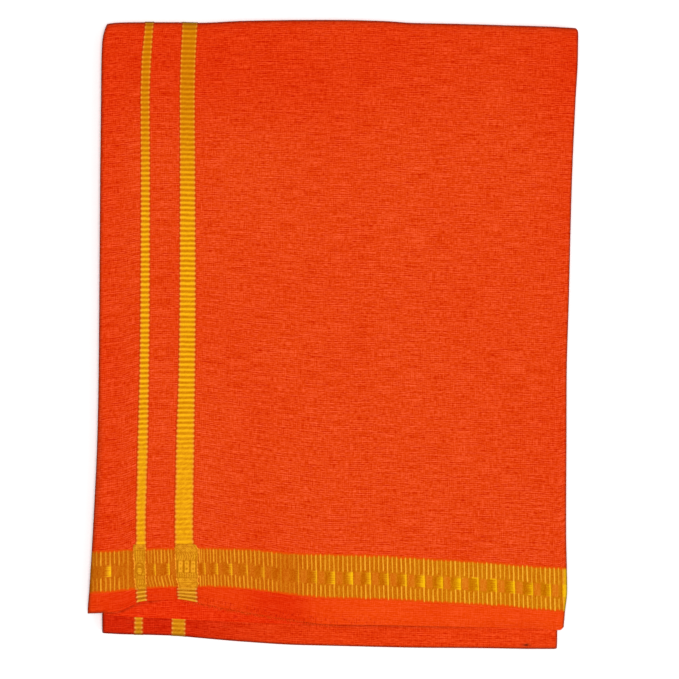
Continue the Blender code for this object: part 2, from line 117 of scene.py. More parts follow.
STATIONS = rows_of(Station, (
    (-164.6, 10.0, 22.9, 23.3, 37.2, 64.6, 416.4),
    (-154.0, 9.8, 22.5, 23.8, 37.9, 65.1, 419.3),
    (-150.0, 9.6, 22.2, 24.3, 38.2, 65.3, 420.1),
    (-143.0, 9.2, 21.6, 25.2, 38.8, 65.8, 420.7),
    (-128.0, 8.8, 20.7, 31.2, 40.4, 66.5, 420.9),
    (-106.0, 8.1, 19.8, 32.8, 41.5, 67.1, 420.9),
    (-90.0, 6.7, 18.8, 30.4, 41.8, 67.2, 420.5),
    (-62.0, 4.3, 17.5, 24.9, 40.6, 66.7, 421.7),
    (-25.0, 2.0, 16.4, 18.9, 36.2, 63.6, 422.4),
    (0.0, 1.4, 16.4, 16.0, 34.0, 62.9, 422.5),
    (32.0, 0.6, 16.6, 15.7, 33.3, 62.1, 421.8),
    (56.0, 0.1, 16.6, 15.1, 31.9, 60.6, 420.4),
    (80.0, -0.1, 16.6, 14.6, 30.5, 59.1, 419.9),
    (112.0, -0.4, 16.2, 13.9, 28.7, 57.0, 419.0),
    (134.0, -0.7, 15.8, 13.2, 26.7, 55.0, 418.4),
    (148.0, -0.7, 15.5, 12.4, 25.7, 54.3, 417.9),
    (151.5, -0.4, 15.4, 12.1, 25.5, 54.2, 417.7),
    (153.8, -0.2, 15.3, 12.5, 25.4, 54.1, 417.5),
    (155.4, -0.2, 15.3, 14.2, 25.3, 54.0, 417.4),
    (163.6, -0.2, 15.3, 14.2, 25.0, 53.7, 416.9),
    (165.2, -0.2, 15.3, 14.2, 25.0, 53.7, 415.0),
))
Swell = namedtuple("Swell", "rise across along phase")
SWELLS = rows_of(Swell, (
    (0.30, 210.0, 300.0, 0.6),
    (0.22, 150.0, -390.0, 2.1),
    (0.16, -330.0, 170.0, 4.0),
))

# Soft creases in the front, each a trough between two places.
Crease = namedtuple("Crease", "x0 height0 x1 height1 depth width")
FRONT_CREASES = rows_of(Crease, (
    (-13.8, 405.0, -18.5, 335.0, 0.10, 3.2),
    (-18.5, 335.0, -21.9, 247.6, 0.13, 3.0),
    (-21.9, 247.6, -22.6, 160.0, 0.12, 3.4),
    (-27.2, 84.0, -26.6, 18.8, 0.20, 2.4),
    (7.1, 246.0, 7.9, 166.0, 0.12, 2.6),
    (61.6, 221.0, 67.6, 163.0, 0.20, 2.4),
    (64.0, 392.0, 66.0, 330.0, 0.07, 3.0),
    (142.9, 226.0, 148.8, 190.0, 0.14, 3.0),
    (147.0, 140.0, 147.6, 76.0, 0.14, 2.8),
    (-48.8, 314.0, -70.0, 286.0, 0.10, 3.0),
    (118.0, 112.0, 134.0, 74.0, 0.08, 3.4),
    (-145.0, 140.0, -147.0, 96.0, 0.10, 2.6),
    (-60.0, 118.0, -86.0, 88.0, -0.09, 3.6),
))


def curve(table, key, value):
    """One named column of a table, as a smooth curve that doesn't overshoot."""
    places = np.array([row[0] for row in table])
    numbers = np.array([getattr(row, key) for row in table])
    value = np.clip(np.asarray(value, dtype=float), places[0], places[-1])
    steps = np.diff(places)
    slopes = np.diff(numbers) / steps
    product = slopes[:-1] * slopes[1:]
    total = slopes[:-1] + slopes[1:]
    total = np.where(total == 0.0, 1.0, total)
    inner = np.where(product > 0.0, 2.0 * product / total, 0.0)
    tangents = np.concatenate([slopes[:1], inner, slopes[-1:]])
    cell = np.clip(np.searchsorted(places, value, side="right") - 1, 0, len(steps) - 1)
    run = steps[cell]
    t = (value - places[cell]) / run
    return ((2 * t**3 - 3 * t**2 + 1) * numbers[cell] + (t**3 - 2 * t**2 + t) * run * tangents[cell]
            + (3 * t**2 - 2 * t**3) * numbers[cell + 1] + (t**3 - t**2) * run * tangents[cell + 1])


def ease(value):
    """0 to 1 with soft ends."""
    t = np.clip(value, 0.0, 1.0)
    return t * t * (3.0 - 2.0 * t)


def within(x, start, rise, end, fall):
    """0 to 1 from start on over `rise`, and back to 0 from end on over `fall`."""
    return ease((x - start) / rise) * (1.0 - ease((x - end) / fall))


def shares(steps):
    return np.linspace(0.0, 1.0, steps)


def bell(value):
    return np.exp(-(value ** 2))


def noise(x, y, pitch_x, pitch_y, seed):
    """Smooth random heights from -1 to 1 on a lattice of the given pitches."""
    u = np.asarray(x, dtype=float) / pitch_x
    v = np.asarray(y, dtype=float) / pitch_y
    i = np.floor(u).astype(np.int64)
    j = np.floor(v).astype(np.int64)
    fu = ease(u - i)
    fv = ease(v - j)

    def lattice(a, b):
        mixed = (a * 374761393 + b * 668265263 + seed * 982451653) & 0xFFFFFFFF
        mixed = ((mixed ^ (mixed >> 13)) * 1274126177) & 0xFFFFFFFF
        mixed = mixed ^ (mixed >> 16)
        return (mixed & 0xFFFFFF) / float(0x7FFFFF) - 1.0

    low = lattice(i, j) * (1 - fu) + lattice(i + 1, j) * fu
    high = lattice(i, j + 1) * (1 - fu) + lattice(i + 1, j + 1) * fu
    return low * (1 - fv) + high * fv


def troughs(creases, x, y):
    """Sum of soft creases, as a depth below the surface."""
    depth = np.zeros(np.broadcast(x, y).shape)
    for crease in creases:
        dx = crease.x1 - crease.x0
        dy = crease.height1 - crease.height0
        length = math.hypot(dx, dy)
        along = ((x - crease.x0) * dx + (y - crease.height0) * dy) / length
        beside = ((x - crease.x0) * dy - (y - crease.height0) * dx) / length
        beside = (beside + 0.8 * np.sin(along / 11.0 + crease.x0)) / crease.width
        ends = ease((along + 6.0) / 14.0) * ease((length + 6.0 - along) / 14.0)
        depth += crease.depth * bell(beside) * ends
    return depth


def relief(x, y, seed, creases):
    """Fine unevenness of a stretch of cloth, above its solid's face."""
    height = 0.10 * noise(x, y, 31.0, 44.0, seed)
    height += 0.06 * noise(x, y, 13.0, 19.0, seed + 1)
    height += 0.022 * noise(x, y, 5.5, 7.0, seed + 2)
    return height - troughs(creases, x, y)


def pack_top(x, y):
    """Height of the CAD's upper face."""
    top = PACK_HEIGHT + FOLD_SWELL * bell((y - TOP_SWELL_AT) / TOP_SWELL_SPREAD)
    top = top + FOLD_SWELL * bell((x - RIGHT_SWELL_AT) / RIGHT_SWELL_SPREAD)
    for swell in SWELLS:
        turn = x / swell.across + y / swell.along
        top = top + swell.rise * np.sin(2.0 * math.pi * turn + swell.phase)
    over = np.maximum(curve(BACK_SECTIONS, "left", y) - x, x - curve(BACK_SECTIONS, "right", y))
    return top - OVERHANG_DROP * np.clip(over / OVERHANG_REACH, 0.0, 1.0) ** 1.5


# A row of a stretch of cloth.  `kind` is top, top_fold, tail_fold, floor or under, and
# `share` a share of the way from one named edge to another, a fold's angle or a run.
Row = namedtuple("Row", "kind start end share shift sink", defaults=(0.0, 0.0))


def top_rows(start, end, steps, first_shift=0.0, sink=0.0):
    """Rows on the upper face from one named edge to another."""
    return [Row("top", start, end, share, first_shift * (1.0 - share), sink) for share in shares(steps)]


def edge_along(name, x):
    """A named place along the pack at each x: a table's column or a number."""
    if isinstance(name, float):
        return np.full(np.shape(x), name)
    if name == "top_start":
        return curve(STATIONS, "top_fold", x) - TOP_REACH
    if name == "tail_start":
        return curve(STATIONS, "tail_fold", x) + TAIL_REACH
    return curve(STATIONS, name, x)


def fold_frame(fold, x):
    """Centre, reach, half height and direction of the top or the tail fold."""
    if fold == "top_fold":
        y = edge_along("top_start", x)
        return y, TOP_REACH, pack_top(x, y) / 2.0, 1.0
    y = edge_along("tail_start", x)
    return y, TAIL_REACH, (pack_top(x, y) - TAIL_SINK) / 2.0, -1.0


def frame_of(row, x):
    """Place and outward direction of a row at each x: y, z and the normal's y and z."""
    flat = np.zeros(np.shape(x))
    if row.kind == "top":
        first = edge_along(row.start, x)
        y = first + (edge_along(row.end, x) - first) * row.share + row.shift
        return y, pack_top(x, y) - row.sink, flat, flat + 1.0
    if row.kind == "floor":
        y, _, _, way = fold_frame(row.start, x)
        return y - way * row.share, flat, flat, flat - 1.0
    if row.kind == "under":
        low = edge_along("tail_start", x) + SEAM_RUN
        high = edge_along("top_start", x) - SEAM_RUN
        return low + (high - low) * row.share, flat, flat, flat - 1.0
    y, reach, half, way = fold_frame(row.kind, x)
    cosine = way * math.cos(row.share)
    sine = math.sin(row.share)
    return y + reach * cosine, half + half * sine, flat + cosine, flat + sine


def to_metres(x, y, z):
    return np.stack([x * MM, (y - ORIGIN_HEIGHT) * MM, z * MM], axis=-1)


def plan(grid):
    """A grid's places across and along the pack, in millimetres."""
    return grid[..., 0] / MM, grid[..., 1] / MM + ORIGIN_HEIGHT


def columns_between(first, last, share, start=0.0, trim=0.0):
    """Columns at shares of the way from one edge of a table to another."""
    def face(table, y):
        left = curve(table, first, y) + start
        return left + (curve(table, last, y) - trim - left) * share
    return face


SETTLING_STEPS = 4      # a column's place along the pack and its x depend on each other


def lay(table, rows, across, depth, lift):
    """A grid of points: one line for each row, one point for each column.

    across(table, y) gives the columns' x at heights y, depth their depths in the
    ply, and lift(x, y, row) a height above the solid's face.
    """
    points = []
    for row in rows:
        y = np.full(depth.shape, MID_HEIGHT)
        x = across(table, y)
        for _ in range(SETTLING_STEPS):
            y = frame_of(row, x)[0]
            x = across(table, y)
        y, z, ny, nz = frame_of(row, x)
        out = lift(x, y, row) - depth
        points.append(to_metres(x, y + out * ny, z + out * nz))
    return np.array(points)


def raised(table, rows, across, rise, lift):
    """A closed wall whose outer face stands `rise` above each row's columns."""
    outer = np.array([lay(table, [row], across, -high, lift)[0] for row, high in zip(rows, rise)])
    return outer, lay(table, rows, across, np.full(rise.shape[1], SUNK), lift)


def lengths(grid, axis):
    """Distance along a grid's rows or columns, in metres, from its middle line."""
    middle = grid[:, grid.shape[1] // 3] if axis == 0 else grid[grid.shape[0] // 2]
    steps = np.linalg.norm(np.diff(middle, axis=0), axis=1)
    return np.concatenate([[0.0], np.cumsum(steps)])


def mesh_object(name, points, faces, uvs, tones, material):
    """One smooth mesh from arrays of points and quads."""
    mesh = bpy.data.meshes.new(name)
    mesh.vertices.add(len(points))
    mesh.vertices.foreach_set("co", points.astype(np.float32).ravel())
    mesh.loops.add(faces.size)
    mesh.loops.foreach_set("vertex_index", faces.astype(np.int32).ravel())
    mesh.polygons.add(len(faces))
    mesh.polygons.foreach_set("loop_start", np.arange(0, faces.size, 4, dtype=np.int32))
    mesh.update(calc_edges=True)
    mesh.validate()
    layer = mesh.uv_layers.new(name="UVMap")
    layer.data.foreach_set("uv", uvs[faces.ravel()].astype(np.float32).ravel())
    for key, values in tones.items():
        attribute = mesh.attributes.new(key, "FLOAT", "POINT")
        attribute.data.foreach_set("value", values.astype(np.float32))
    mesh.shade_smooth()
    mesh.set_sharp_from_angle(angle=math.radians(50))
    mesh.materials.append(material)
    return link(name, mesh)


def grid_quads(rows, columns, start, flip):
    """Quads of one grid of points."""
    row, column = np.meshgrid(np.arange(rows - 1), np.arange(columns - 1), indexing="ij")
    corner = start + row * columns + column
    quads = np.stack([corner, corner + 1, corner + columns + 1, corner + columns], axis=-1)
    quads = quads.reshape(-1, 4)
    return quads[:, ::-1] if flip else quads


def rim_quads(rows, columns):
    """Quads that join the rims of an outer and an inner grid."""
    count = rows * columns
    line = np.arange(columns - 1)
    last = count - columns + line
    side = np.arange(rows - 1) * columns
    quads = []
    far = side + columns - 1
    for first, second, flip in ((line, line + 1, False), (last, last + 1, True),
                                (side, side + columns, True), (far, far + columns, False)):
        strip = np.stack([second, first, first + count, second + count], axis=-1)
        quads.append(strip[:, ::-1] if flip else strip)
    return np.concatenate(quads)


def wall(outer, inner, turned):
    """Points and outward faces of a closed wall between two grids."""
    rows, columns = outer.shape[:2]
    points = np.concatenate([outer.reshape(-1, 3), inner.reshape(-1, 3)])
    faces = np.concatenate([grid_quads(rows, columns, 0, False),
                            grid_quads(rows, columns, rows * columns, True),
                            rim_quads(rows, columns)])
    return points, faces[:, ::-1] if turned else faces


# Painted shade darkens the cloth over this much towards each edge or fold, where it turns away from the
# light.
RIM_SHADE_REACH = {"left": 2.2, "right": 1.5, "foot": 1.8, "top": 2.2}


def rim_shade_of(grid, strengths):
    """How much painted shade each point of a grid takes for being near the named edges, seen from above.
    """
    x = grid[..., 0] / MM
    y = grid[..., 1] / MM
    gaps = {"left": x - x.min(axis=1, keepdims=True), "right": x.max(axis=1, keepdims=True) - x,
            "foot": y - y.min(axis=0, keepdims=True), "top": y.max(axis=0, keepdims=True) - y}
    rim = np.zeros(x.shape)
    for edge, strength in strengths.items():
        rim = np.maximum(rim, strength * (1.0 - ease(gaps[edge] / RIM_SHADE_REACH[edge])))
    return rim


UV_APART = 0.05         # between the UV maps of one mesh's walls


def wall_object(name, walls, material, tones=None, turned=False, offset=(0.0, 0.0)):
    """Closed thin walls in one mesh, with a UV map in metres along the cloth."""
    points = []
    faces = []
    uvs = []
    count = 0
    for number, (outer, inner) in enumerate(walls):
        some_points, some_faces = wall(outer, inner, turned)
        u = lengths(outer, 1) + offset[0] + UV_APART * number
        v = lengths(outer, 0) + offset[1]
        plane = np.stack(np.meshgrid(u, v, indexing="xy"), axis=-1).reshape(-1, 2)
        uvs += [plane, plane]
        points.append(some_points)
        faces.append(some_faces + count)
        count += len(some_points)
    doubled = {key: np.concatenate([value.ravel(), value.ravel()]) for key, value in (tones or {}).items()}
    return mesh_object(name, np.concatenate(points), np.concatenate(faces), np.concatenate(uvs), doubled,
                       material)


# --- materials ---
STUDIO = 1.27           # light that falls on a sheet lying flat in this studio


def seen(red, green, blue):
    """The finish that looks like this screen colour when it lies flat in the studio."""
    shares = np.array([red, green, blue]) / 255.0
    linear = np.where(shares <= 0.04045, shares / 12.92, ((shares + 0.055) / 1.055) ** 2.4)
    return tuple(float(value) for value in linear / STUDIO)


class Cloth:
    """A Principled material and short ways to add nodes that feed it."""

    def __init__(self, name, roughness, specular, metallic=0.0):
        self.material = bpy.data.materials.new(name)
        self.material.use_nodes = True
        self.tree = self.material.node_tree
        self.shader = self.tree.nodes["Principled BSDF"]
        self.shader.inputs["Roughness"].default_value = roughness
        self.shader.inputs["Specular IOR Level"].default_value = specular
        self.shader.inputs["Metallic"].default_value = metallic
        self.uv = self.add("UVMap").outputs["UV"]

    def feed(self, socket, value):
        if isinstance(value, bpy.types.NodeSocket):
            self.tree.links.new(value, socket)
        else:
            socket.default_value = value

    def add(self, kind, inputs=None, **settings):
        """A new node with its settings and what its inputs are fed."""
        node = self.tree.nodes.new("ShaderNode" + kind)
        for name, value in settings.items():
            setattr(node, name, value)
        for key, value in (inputs or {}).items():
            self.feed(node.inputs[key], value)
        return node

    def math(self, operation, first, second=0.0):
        return self.add("Math", {0: first, 1: second}, operation=operation).outputs[0]

    def times(self, first, second):
        return self.math("MULTIPLY", first, second)

    def plus(self, first, second):
        return self.math("ADD", first, second)

    def scaled(self, across, along, shift=0.0):
        inputs = {0: self.uv, 1: (across, along, 1.0), 2: (shift, shift, shift)}
        return self.add("VectorMath", inputs, operation="MULTIPLY_ADD").outputs[0]

    def noise(self, across_mm, along_mm, detail=1.0, shift=0.0):
        """Noise whose grains are the given sizes across and along the cloth."""
        vector = self.scaled(1000.0 / across_mm, 1000.0 / along_mm, shift)
        return self.add("TexNoise", {"Vector": vector, "Scale": 1.0, "Detail": detail}).outputs["Fac"]

    def threads(self, pitch_mm):
        """A plain weave's ups and downs, from -1 to 1."""
        turns = 1000.0 * math.pi / pitch_mm
        node = self.add("SeparateXYZ", {0: self.scaled(turns, turns)})
        return self.times(self.math("SINE", node.outputs[0]), self.math("SINE", node.outputs[1]))

    def lines(self, pitch_mm, sway, axis):
        """Threads from -1 to 1, counted across (0) or along (1), whose phase a noise sways."""
        turns = 2000.0 * math.pi / pitch_mm
        node = self.add("SeparateXYZ", {0: self.scaled(turns, turns)})
        return self.math("SINE", self.plus(node.outputs[axis], self.times(sway, 7.0)))

    def attribute(self, name):
        return self.add("Attribute", attribute_name=name).outputs["Fac"]

    def spread(self, value, low=0.0, high=1.0, start=0.0, end=1.0):
        """A value taken from one range to another and kept inside it."""
        inputs = {"Value": value, "From Min": low, "From Max": high, "To Min": start, "To Max": end}
        return self.add("MapRange", inputs).outputs["Result"]

    def mix(self, factor, first, second, blend="MIX"):
        pair = [value if isinstance(value, bpy.types.NodeSocket) else (*value, 1.0)
                for value in (first, second)]
        inputs = {0: factor, 6: pair[0], 7: pair[1]}
        return self.add("Mix", inputs, data_type="RGBA", blend_type=blend).outputs[2]

    def bump(self, height, distance_mm, strength):
        inputs = {"Strength": strength, "Distance": distance_mm * MM, "Height": height}
        self.feed(self.shader.inputs["Normal"], self.add("Bump", inputs).outputs["Normal"])

    def colour(self, value):
        """The base colour, with painted shade at its `rim` where the cloth still faces up."""
        up = self.add("SeparateXYZ", {0: self.add("NewGeometry").outputs["Normal"]}).outputs[2]
        share = self.times(self.attribute("rim"), self.spread(up, 0.0, 0.12))
        self.feed(self.shader.inputs["Base Color"], self.mix(share, value, RIM_SHADE_TINT, "MULTIPLY"))


# Painted shade at edges and folds multiplies the base colour by this tint.
RIM_SHADE_TINT = (0.24, 0.42, 1.0)
BESIDE_STRIPE = (204, 58, 3)            # where gold and red threads meet
BESIDE_BAND = (228, 76, 6)
# What the palest streaks add to the deep dye and to the bright one: weft streaks whose pale side is partly
# painted highlight.
FIELD_STREAKS = ((0.330, 0.054, 0.0012), (0.350, 0.077, 0.0030))
TAIL_STREAKS = ((0.300, 0.024, 0.0015), (0.320, 0.060, 0.0030))
SECOND_STREAKS = ((0.300, 0.040, 0.0010), (0.310, 0.048, 0.0015))
PALEST_HIGHLIGHT = (0.0, 0.010, 0.0250)           # painted highlight on the palest streaks
PALEST_HIGHLIGHT_BELOW = (0.0, 0.006, 0.0110)     # and the same on the plies that lie lower
SLUB = (0.070, 0.030, 0.0090)
FRAY_GAP = (0.74, 0.36, 0.50)           # shade between the threads that work loose


def cotton(name, deep, bright, seed, streak_pair=FIELD_STREAKS, palest=PALEST_HIGHLIGHT, heading=None):
    """Handloom cotton: uneven weft slubs, fainter warp lines and a slow drift of the dye.

    `fade` goes from the deep dye to the bright one; on the front it also carries painted shade.
    `heading`, where it is given, marks the denser end below the cross band, and `fray` the painted shade
    between its loose threads.  The pale streaks are partly painted highlight.
    """
    cloth = Cloth(name, 0.82, 0.005)
    times, plus, spread, mix = cloth.times, cloth.plus, cloth.spread, cloth.mix

    def grain(across_mm, along_mm, shift=0.0):
        return cloth.noise(across_mm, along_mm, 1.0, seed + shift)

    share = spread(grain(6.0, 6.0, 11.0), 0.35, 0.65, 0.06, 0.34)
    weft = plus(times(grain(2.7, 0.56), 0.54), times(grain(17.0, 0.60, 17.0), 0.46))
    streaks = plus(times(weft, cloth.math("SUBTRACT", 1.0, share)), times(grain(0.60, 6.0, 3.0), share))
    sway = grain(7.0, 5.0, 13.0)
    for axis, amount in ((1, 0.040), (0, 0.018)):
        streaks = plus(streaks, times(cloth.lines(1.35, sway, axis), amount))
    drift = spread(grain(60.0, 80.0, 5.0), 0.3, 0.7, -0.16, 0.16)
    fade = spread(plus(cloth.attribute("fade"), drift))
    body = mix(fade, deep, bright)
    strength = 1.0
    if heading:
        dense = cloth.attribute("heading")
        body = mix(dense, body, mix(fade, *heading))
        strength = spread(dense, 0.0, 1.0, 1.0, 0.55)
    body = mix(times(spread(streaks, 0.34, 0.67), strength), body, mix(fade, *streak_pair), "ADD")
    pale = times(spread(streaks, 0.49, 0.66), spread(fade, 0.0, 1.0, 0.4, 1.0))
    body = mix(times(pale, strength), body, palest, "ADD")
    body = mix(spread(grain(13.0, 0.9, 7.0), 0.60, 0.70, 0.0, 0.35), body, SLUB, "ADD")
    if heading:
        shade_flecks = times(spread(grain(0.85, 2.6, 31.0), 0.56, 0.66), cloth.attribute("fray"))
        body = mix(shade_flecks, body, FRAY_GAP, "MULTIPLY")
    cloth.colour(body)
    cloth.bump(plus(times(cloth.threads(0.5), 0.25), times(streaks, 1.6)), 0.16, 0.6)
    cloth.shader.inputs["Sheen Weight"].default_value = 0.03
    cloth.shader.inputs["Sheen Roughness"].default_value = 0.45
    cloth.shader.inputs["Sheen Tint"].default_value = (1.0, 0.20, 0.03, 1.0)
    return cloth.material


def zari(name, grounds, threads, dulled, beside, seed):
    """Woven gold: `tone` picks ground or thread, `warm` the second of each pair, `dull_and_shade` wear
    and, on the band, painted shade.

    `bleed` is where the red threads beside it show between the gold ones.
    """
    gold = Cloth(name, 0.55, 0.0, 0.15)
    grain = gold.noise(0.75, 1.0, 2.0, seed)
    warm = gold.attribute("warm")
    tone = gold.plus(gold.attribute("tone"), gold.spread(grain, 0.3, 0.7, -0.12, 0.12))
    tone = gold.spread(tone)
    shades = [[seen(*colour) for colour in pair] for pair in (grounds, threads, dulled)]
    fresh = gold.mix(tone, gold.mix(warm, *shades[0]), gold.mix(warm, *shades[1]))
    fresh = gold.mix(gold.attribute("dull_and_shade"), fresh, gold.mix(tone, *shades[2]))
    gold.colour(gold.mix(gold.attribute("bleed"), fresh, seen(*beside)))
    gold.bump(gold.plus(grain, gold.times(gold.threads(0.42), 0.3)), 0.10, 0.45)
    return gold.material


# --- the outer ply ---
def across_profile():
    """Columns of the outer ply: its face, the fold along the right side and its return.

    Each has a share of the way from the left edge to the right, a shift, a depth
    in the ply and the outward direction's parts across and up.
    """
    share = np.concatenate([[0.0, 0.0015, 0.004, 0.008], np.linspace(0.012, 0.994, 150), [0.997, 1.0]])
    near = np.clip(1.0 - share / 0.008, 0.0, 1.0)
    columns = [(s, -FOLD_ROUND * s, 0.22 * n * n, 0.0, 1.0) for s, n in zip(share, near)]
    for angle in np.radians([65, 38, 12, -14, -40, -66, -90]):
        cosine, sine = math.cos(angle), math.sin(angle)
        columns.append((1.0, FOLD_ROUND * (cosine - 1.0), FOLD_ROUND * (1.0 - sine), cosine, sine))
    for run in (2.0, 4.5, 7.5, 10.5, RETURN):
        columns.append((1.0, -FOLD_ROUND - run, 2.0 * FOLD_ROUND - 0.3 * ease(run / RETURN), 0.0, -1.0))
    return np.array(columns).T


def ply_shell(name, table, rows, lift, material, dye, rims, turned=False, start=0.0):
    """A stretch of the outer ply as a closed thin wall."""
    share, shift, depth, beside, up = across_profile()
    face = columns_between("left", "right", share)

    def outside(side, y):
        return face(side, y) + shift

    def inside(side, y):
        return face(side, y) + shift - THICK * beside

    outer = lay(table, rows, outside, depth, lift)
    inner = lay(table, rows, inside, depth + THICK * up, lift)
    return wall_object(name, [(outer, inner)], material, dyed(outer, dye, rims), turned, (0.0, start))


def dyed(grid, dye, rims):
    """The dye's attributes at each point of a grid, with the shade at its edges and under a ply."""
    tones = dye(*plan(grid))
    tones["rim"] = np.maximum(rim_shade_of(grid, rims), tones.pop("under", 0.0))
    return tones


Drift = namedtuple("Drift", "across tone")
HEADING_TONES = rows_of(Drift, (
    (-160.0, 0.45), (-150.0, 0.30), (-134.0, 0.10), (-120.0, 0.15), (-80.0, 0.50), (-62.0, 0.45),
    (-45.0, 0.05), (-30.0, 0.05), (-5.0, 0.85), (60.0, 1.0), (95.0, 0.90), (125.0, 0.75), (142.0, 1.05),
    (157.0, 1.3),
))


def front_dye(x, y):
    """Painted light and shade: deeper near the top fold, down the left margin and towards the right edge,
    lighter low in the middle; densest below the band.
    """
    fade = 0.90 - 0.85 * ease((y - 322.0) / 75.0) * (1.0 - 0.4 * ease((x + 120.0) / 280.0))
    fade = fade - 0.45 * ease((-128.0 - x) / 26.0) - 0.25 * ease((x - 120.0) / 40.0)
    fade = fade + 0.12 * ease((x + 40.0) / 60.0) * ease((230.0 - y) / 120.0)
    dense = ease((edge_along("band_foot", x) + 0.6 - y) / 1.2)
    # The left edge is darker between heights 70 and 130.
    margin = 1.0 - ease((x - curve(FRONT_SECTIONS, "left", y)) / 5.0)
    margin = 0.40 * margin * within(y, 70.0, 20.0, 130.0, 60.0)
    above = y - edge_along("cut_end", x)
    # Painted shade falls between the loose threads just above the cut end.
    fray = within(above, -0.5, 1.2, 3.0, 5.0) * (0.25 + 0.75 * within(x, -112.0, 30.0, 10.0, 40.0))
    # Painted shade at the lower left corner, along the cut end.
    corner = 0.9 * ease((-151.0 - x) / 3.0) * (1.0 - ease(above / 1.9))
    return {"fade": fade * (1.0 - dense) + curve(HEADING_TONES, "tone", x) * dense, "heading": dense,
            "fray": fray, "under": np.maximum(margin, corner)}


def plain_dye(x, y):
    return {"fade": 0.75 + 0.2 * noise(x, y, 60.0, 90.0, 91)}


# A small spot of painted shade on the tail.
ShadeSpot = namedtuple("ShadeSpot", "across height half_width half_height")
SPOT = ShadeSpot(130.2, 2.2, 2.0, 0.85)


def second_dye(x, y):
    """As the plain dye, with the shade of the front's cut end where its corner lies free."""
    below = edge_along("cut_end", x) - y
    shade = within(below, -0.3, 0.6, 0.0, 2.4) * (1.0 - ease((x + 128.0) / 20.0))
    return {**plain_dye(x, y), "under": 0.60 * shade}


def tail_dye(x, y):
    """Deeper to the left, and shaded where it goes in under the plies above."""
    cover = np.minimum(edge_along("cut_end", x), edge_along("second_end", x))
    under = 0.30 * (1.0 - ease((cover - y) / 2.6)) * within(x, -30.0, 30.0, 70.0, 50.0)
    spot = np.hypot((x - SPOT.across) / SPOT.half_width, (y - SPOT.height) / SPOT.half_height)
    fade = 0.05 + 0.80 * ease((x + 165.0) / 190.0) + 0.25 * ease((x - 30.0) / 50.0)
    # The spot is painted shade too.
    return {"fade": fade, "under": np.maximum(under, 1.2 * bell(spot))}


def end_droop(x, y):
    """How far the cut end sinks on to what is under it."""
    cut = edge_along("cut_end", x)
    bare = ease((edge_along("second_end", x) - cut) / 3.0)
    drop = END_DROOP + BARE_DROOP * bare
    return drop * (1.0 - ease((y - cut) / END_RUN))


def row_strength(row):
    """How much of the fine relief a row takes: none underneath, where the pack rests."""
    if row.kind == "top":
        return 1.0
    if row.kind in ("floor", "under"):
        return 0.0
    return 0.5 + 0.5 * math.sin(row.share)


def front_lift(x, y, row):
    strength = row_strength(row)
    height = relief(x, y, 11, FRONT_CREASES) * strength - PROUD * (1.0 - strength)
    if row.kind == "top":
        height = height - end_droop(x, y)
    return height


def tail_lift(x, y, row):
    strength = row_strength(row)
    return relief(x, y, 31, ()) * 0.7 * strength - PROUD * (1.0 - strength)


def under_lift(x, y, row):
    """Underneath, the pack rests on its borders, which stand a little proud of the cotton."""
    return np.full_like(y, -PROUD)


def flat_lift(x, y, row):
    return np.zeros_like(y)


def fold_rows(fold, steps):
    """Rows round a fold, from just past its upper edge down to the floor."""
    return [Row(fold, "", "", math.pi * (0.5 - step / steps)) for step in range(1, steps + 1)]


def seam_rows(fold, *runs):
    """Rows on the floor, each a run inwards from a fold."""
    return [Row("floor", fold, "", run) for run in runs]


def under_rows(count):
    return [Row("under", "", "", share) for share in shares(count)]


def front_rows():
    return (top_rows("cut_end", "top_start", FRONT_STEPS) + fold_rows("top_fold", 16)
            + seam_rows("top_fold", SEAM_RUN / 2.0, SEAM_RUN))


def tail_rows():
    return (seam_rows("tail_fold", SEAM_RUN, SEAM_RUN / 2.0) + fold_rows("tail_fold", 18)[::-1]
            + top_rows("tail_start", TAIL_COVER, TAIL_STEPS, 0.0, TAIL_SINK))


# --- woven borders ---
RIB_PITCH = 3.4
TAIL_RIB_PITCH = 3.08
RIB_RISE = 0.24
PROUD = 0.12            # a border's ground stands this far above the cotton
SUNK = 0.22             # and its underside this far below it
SPILL = 0.6             # red threads beside a border that its gold pulls together
SLANT_SINE = 0.5        # a worn border's knit runs at a slant
SLANT_COSINE = 0.87


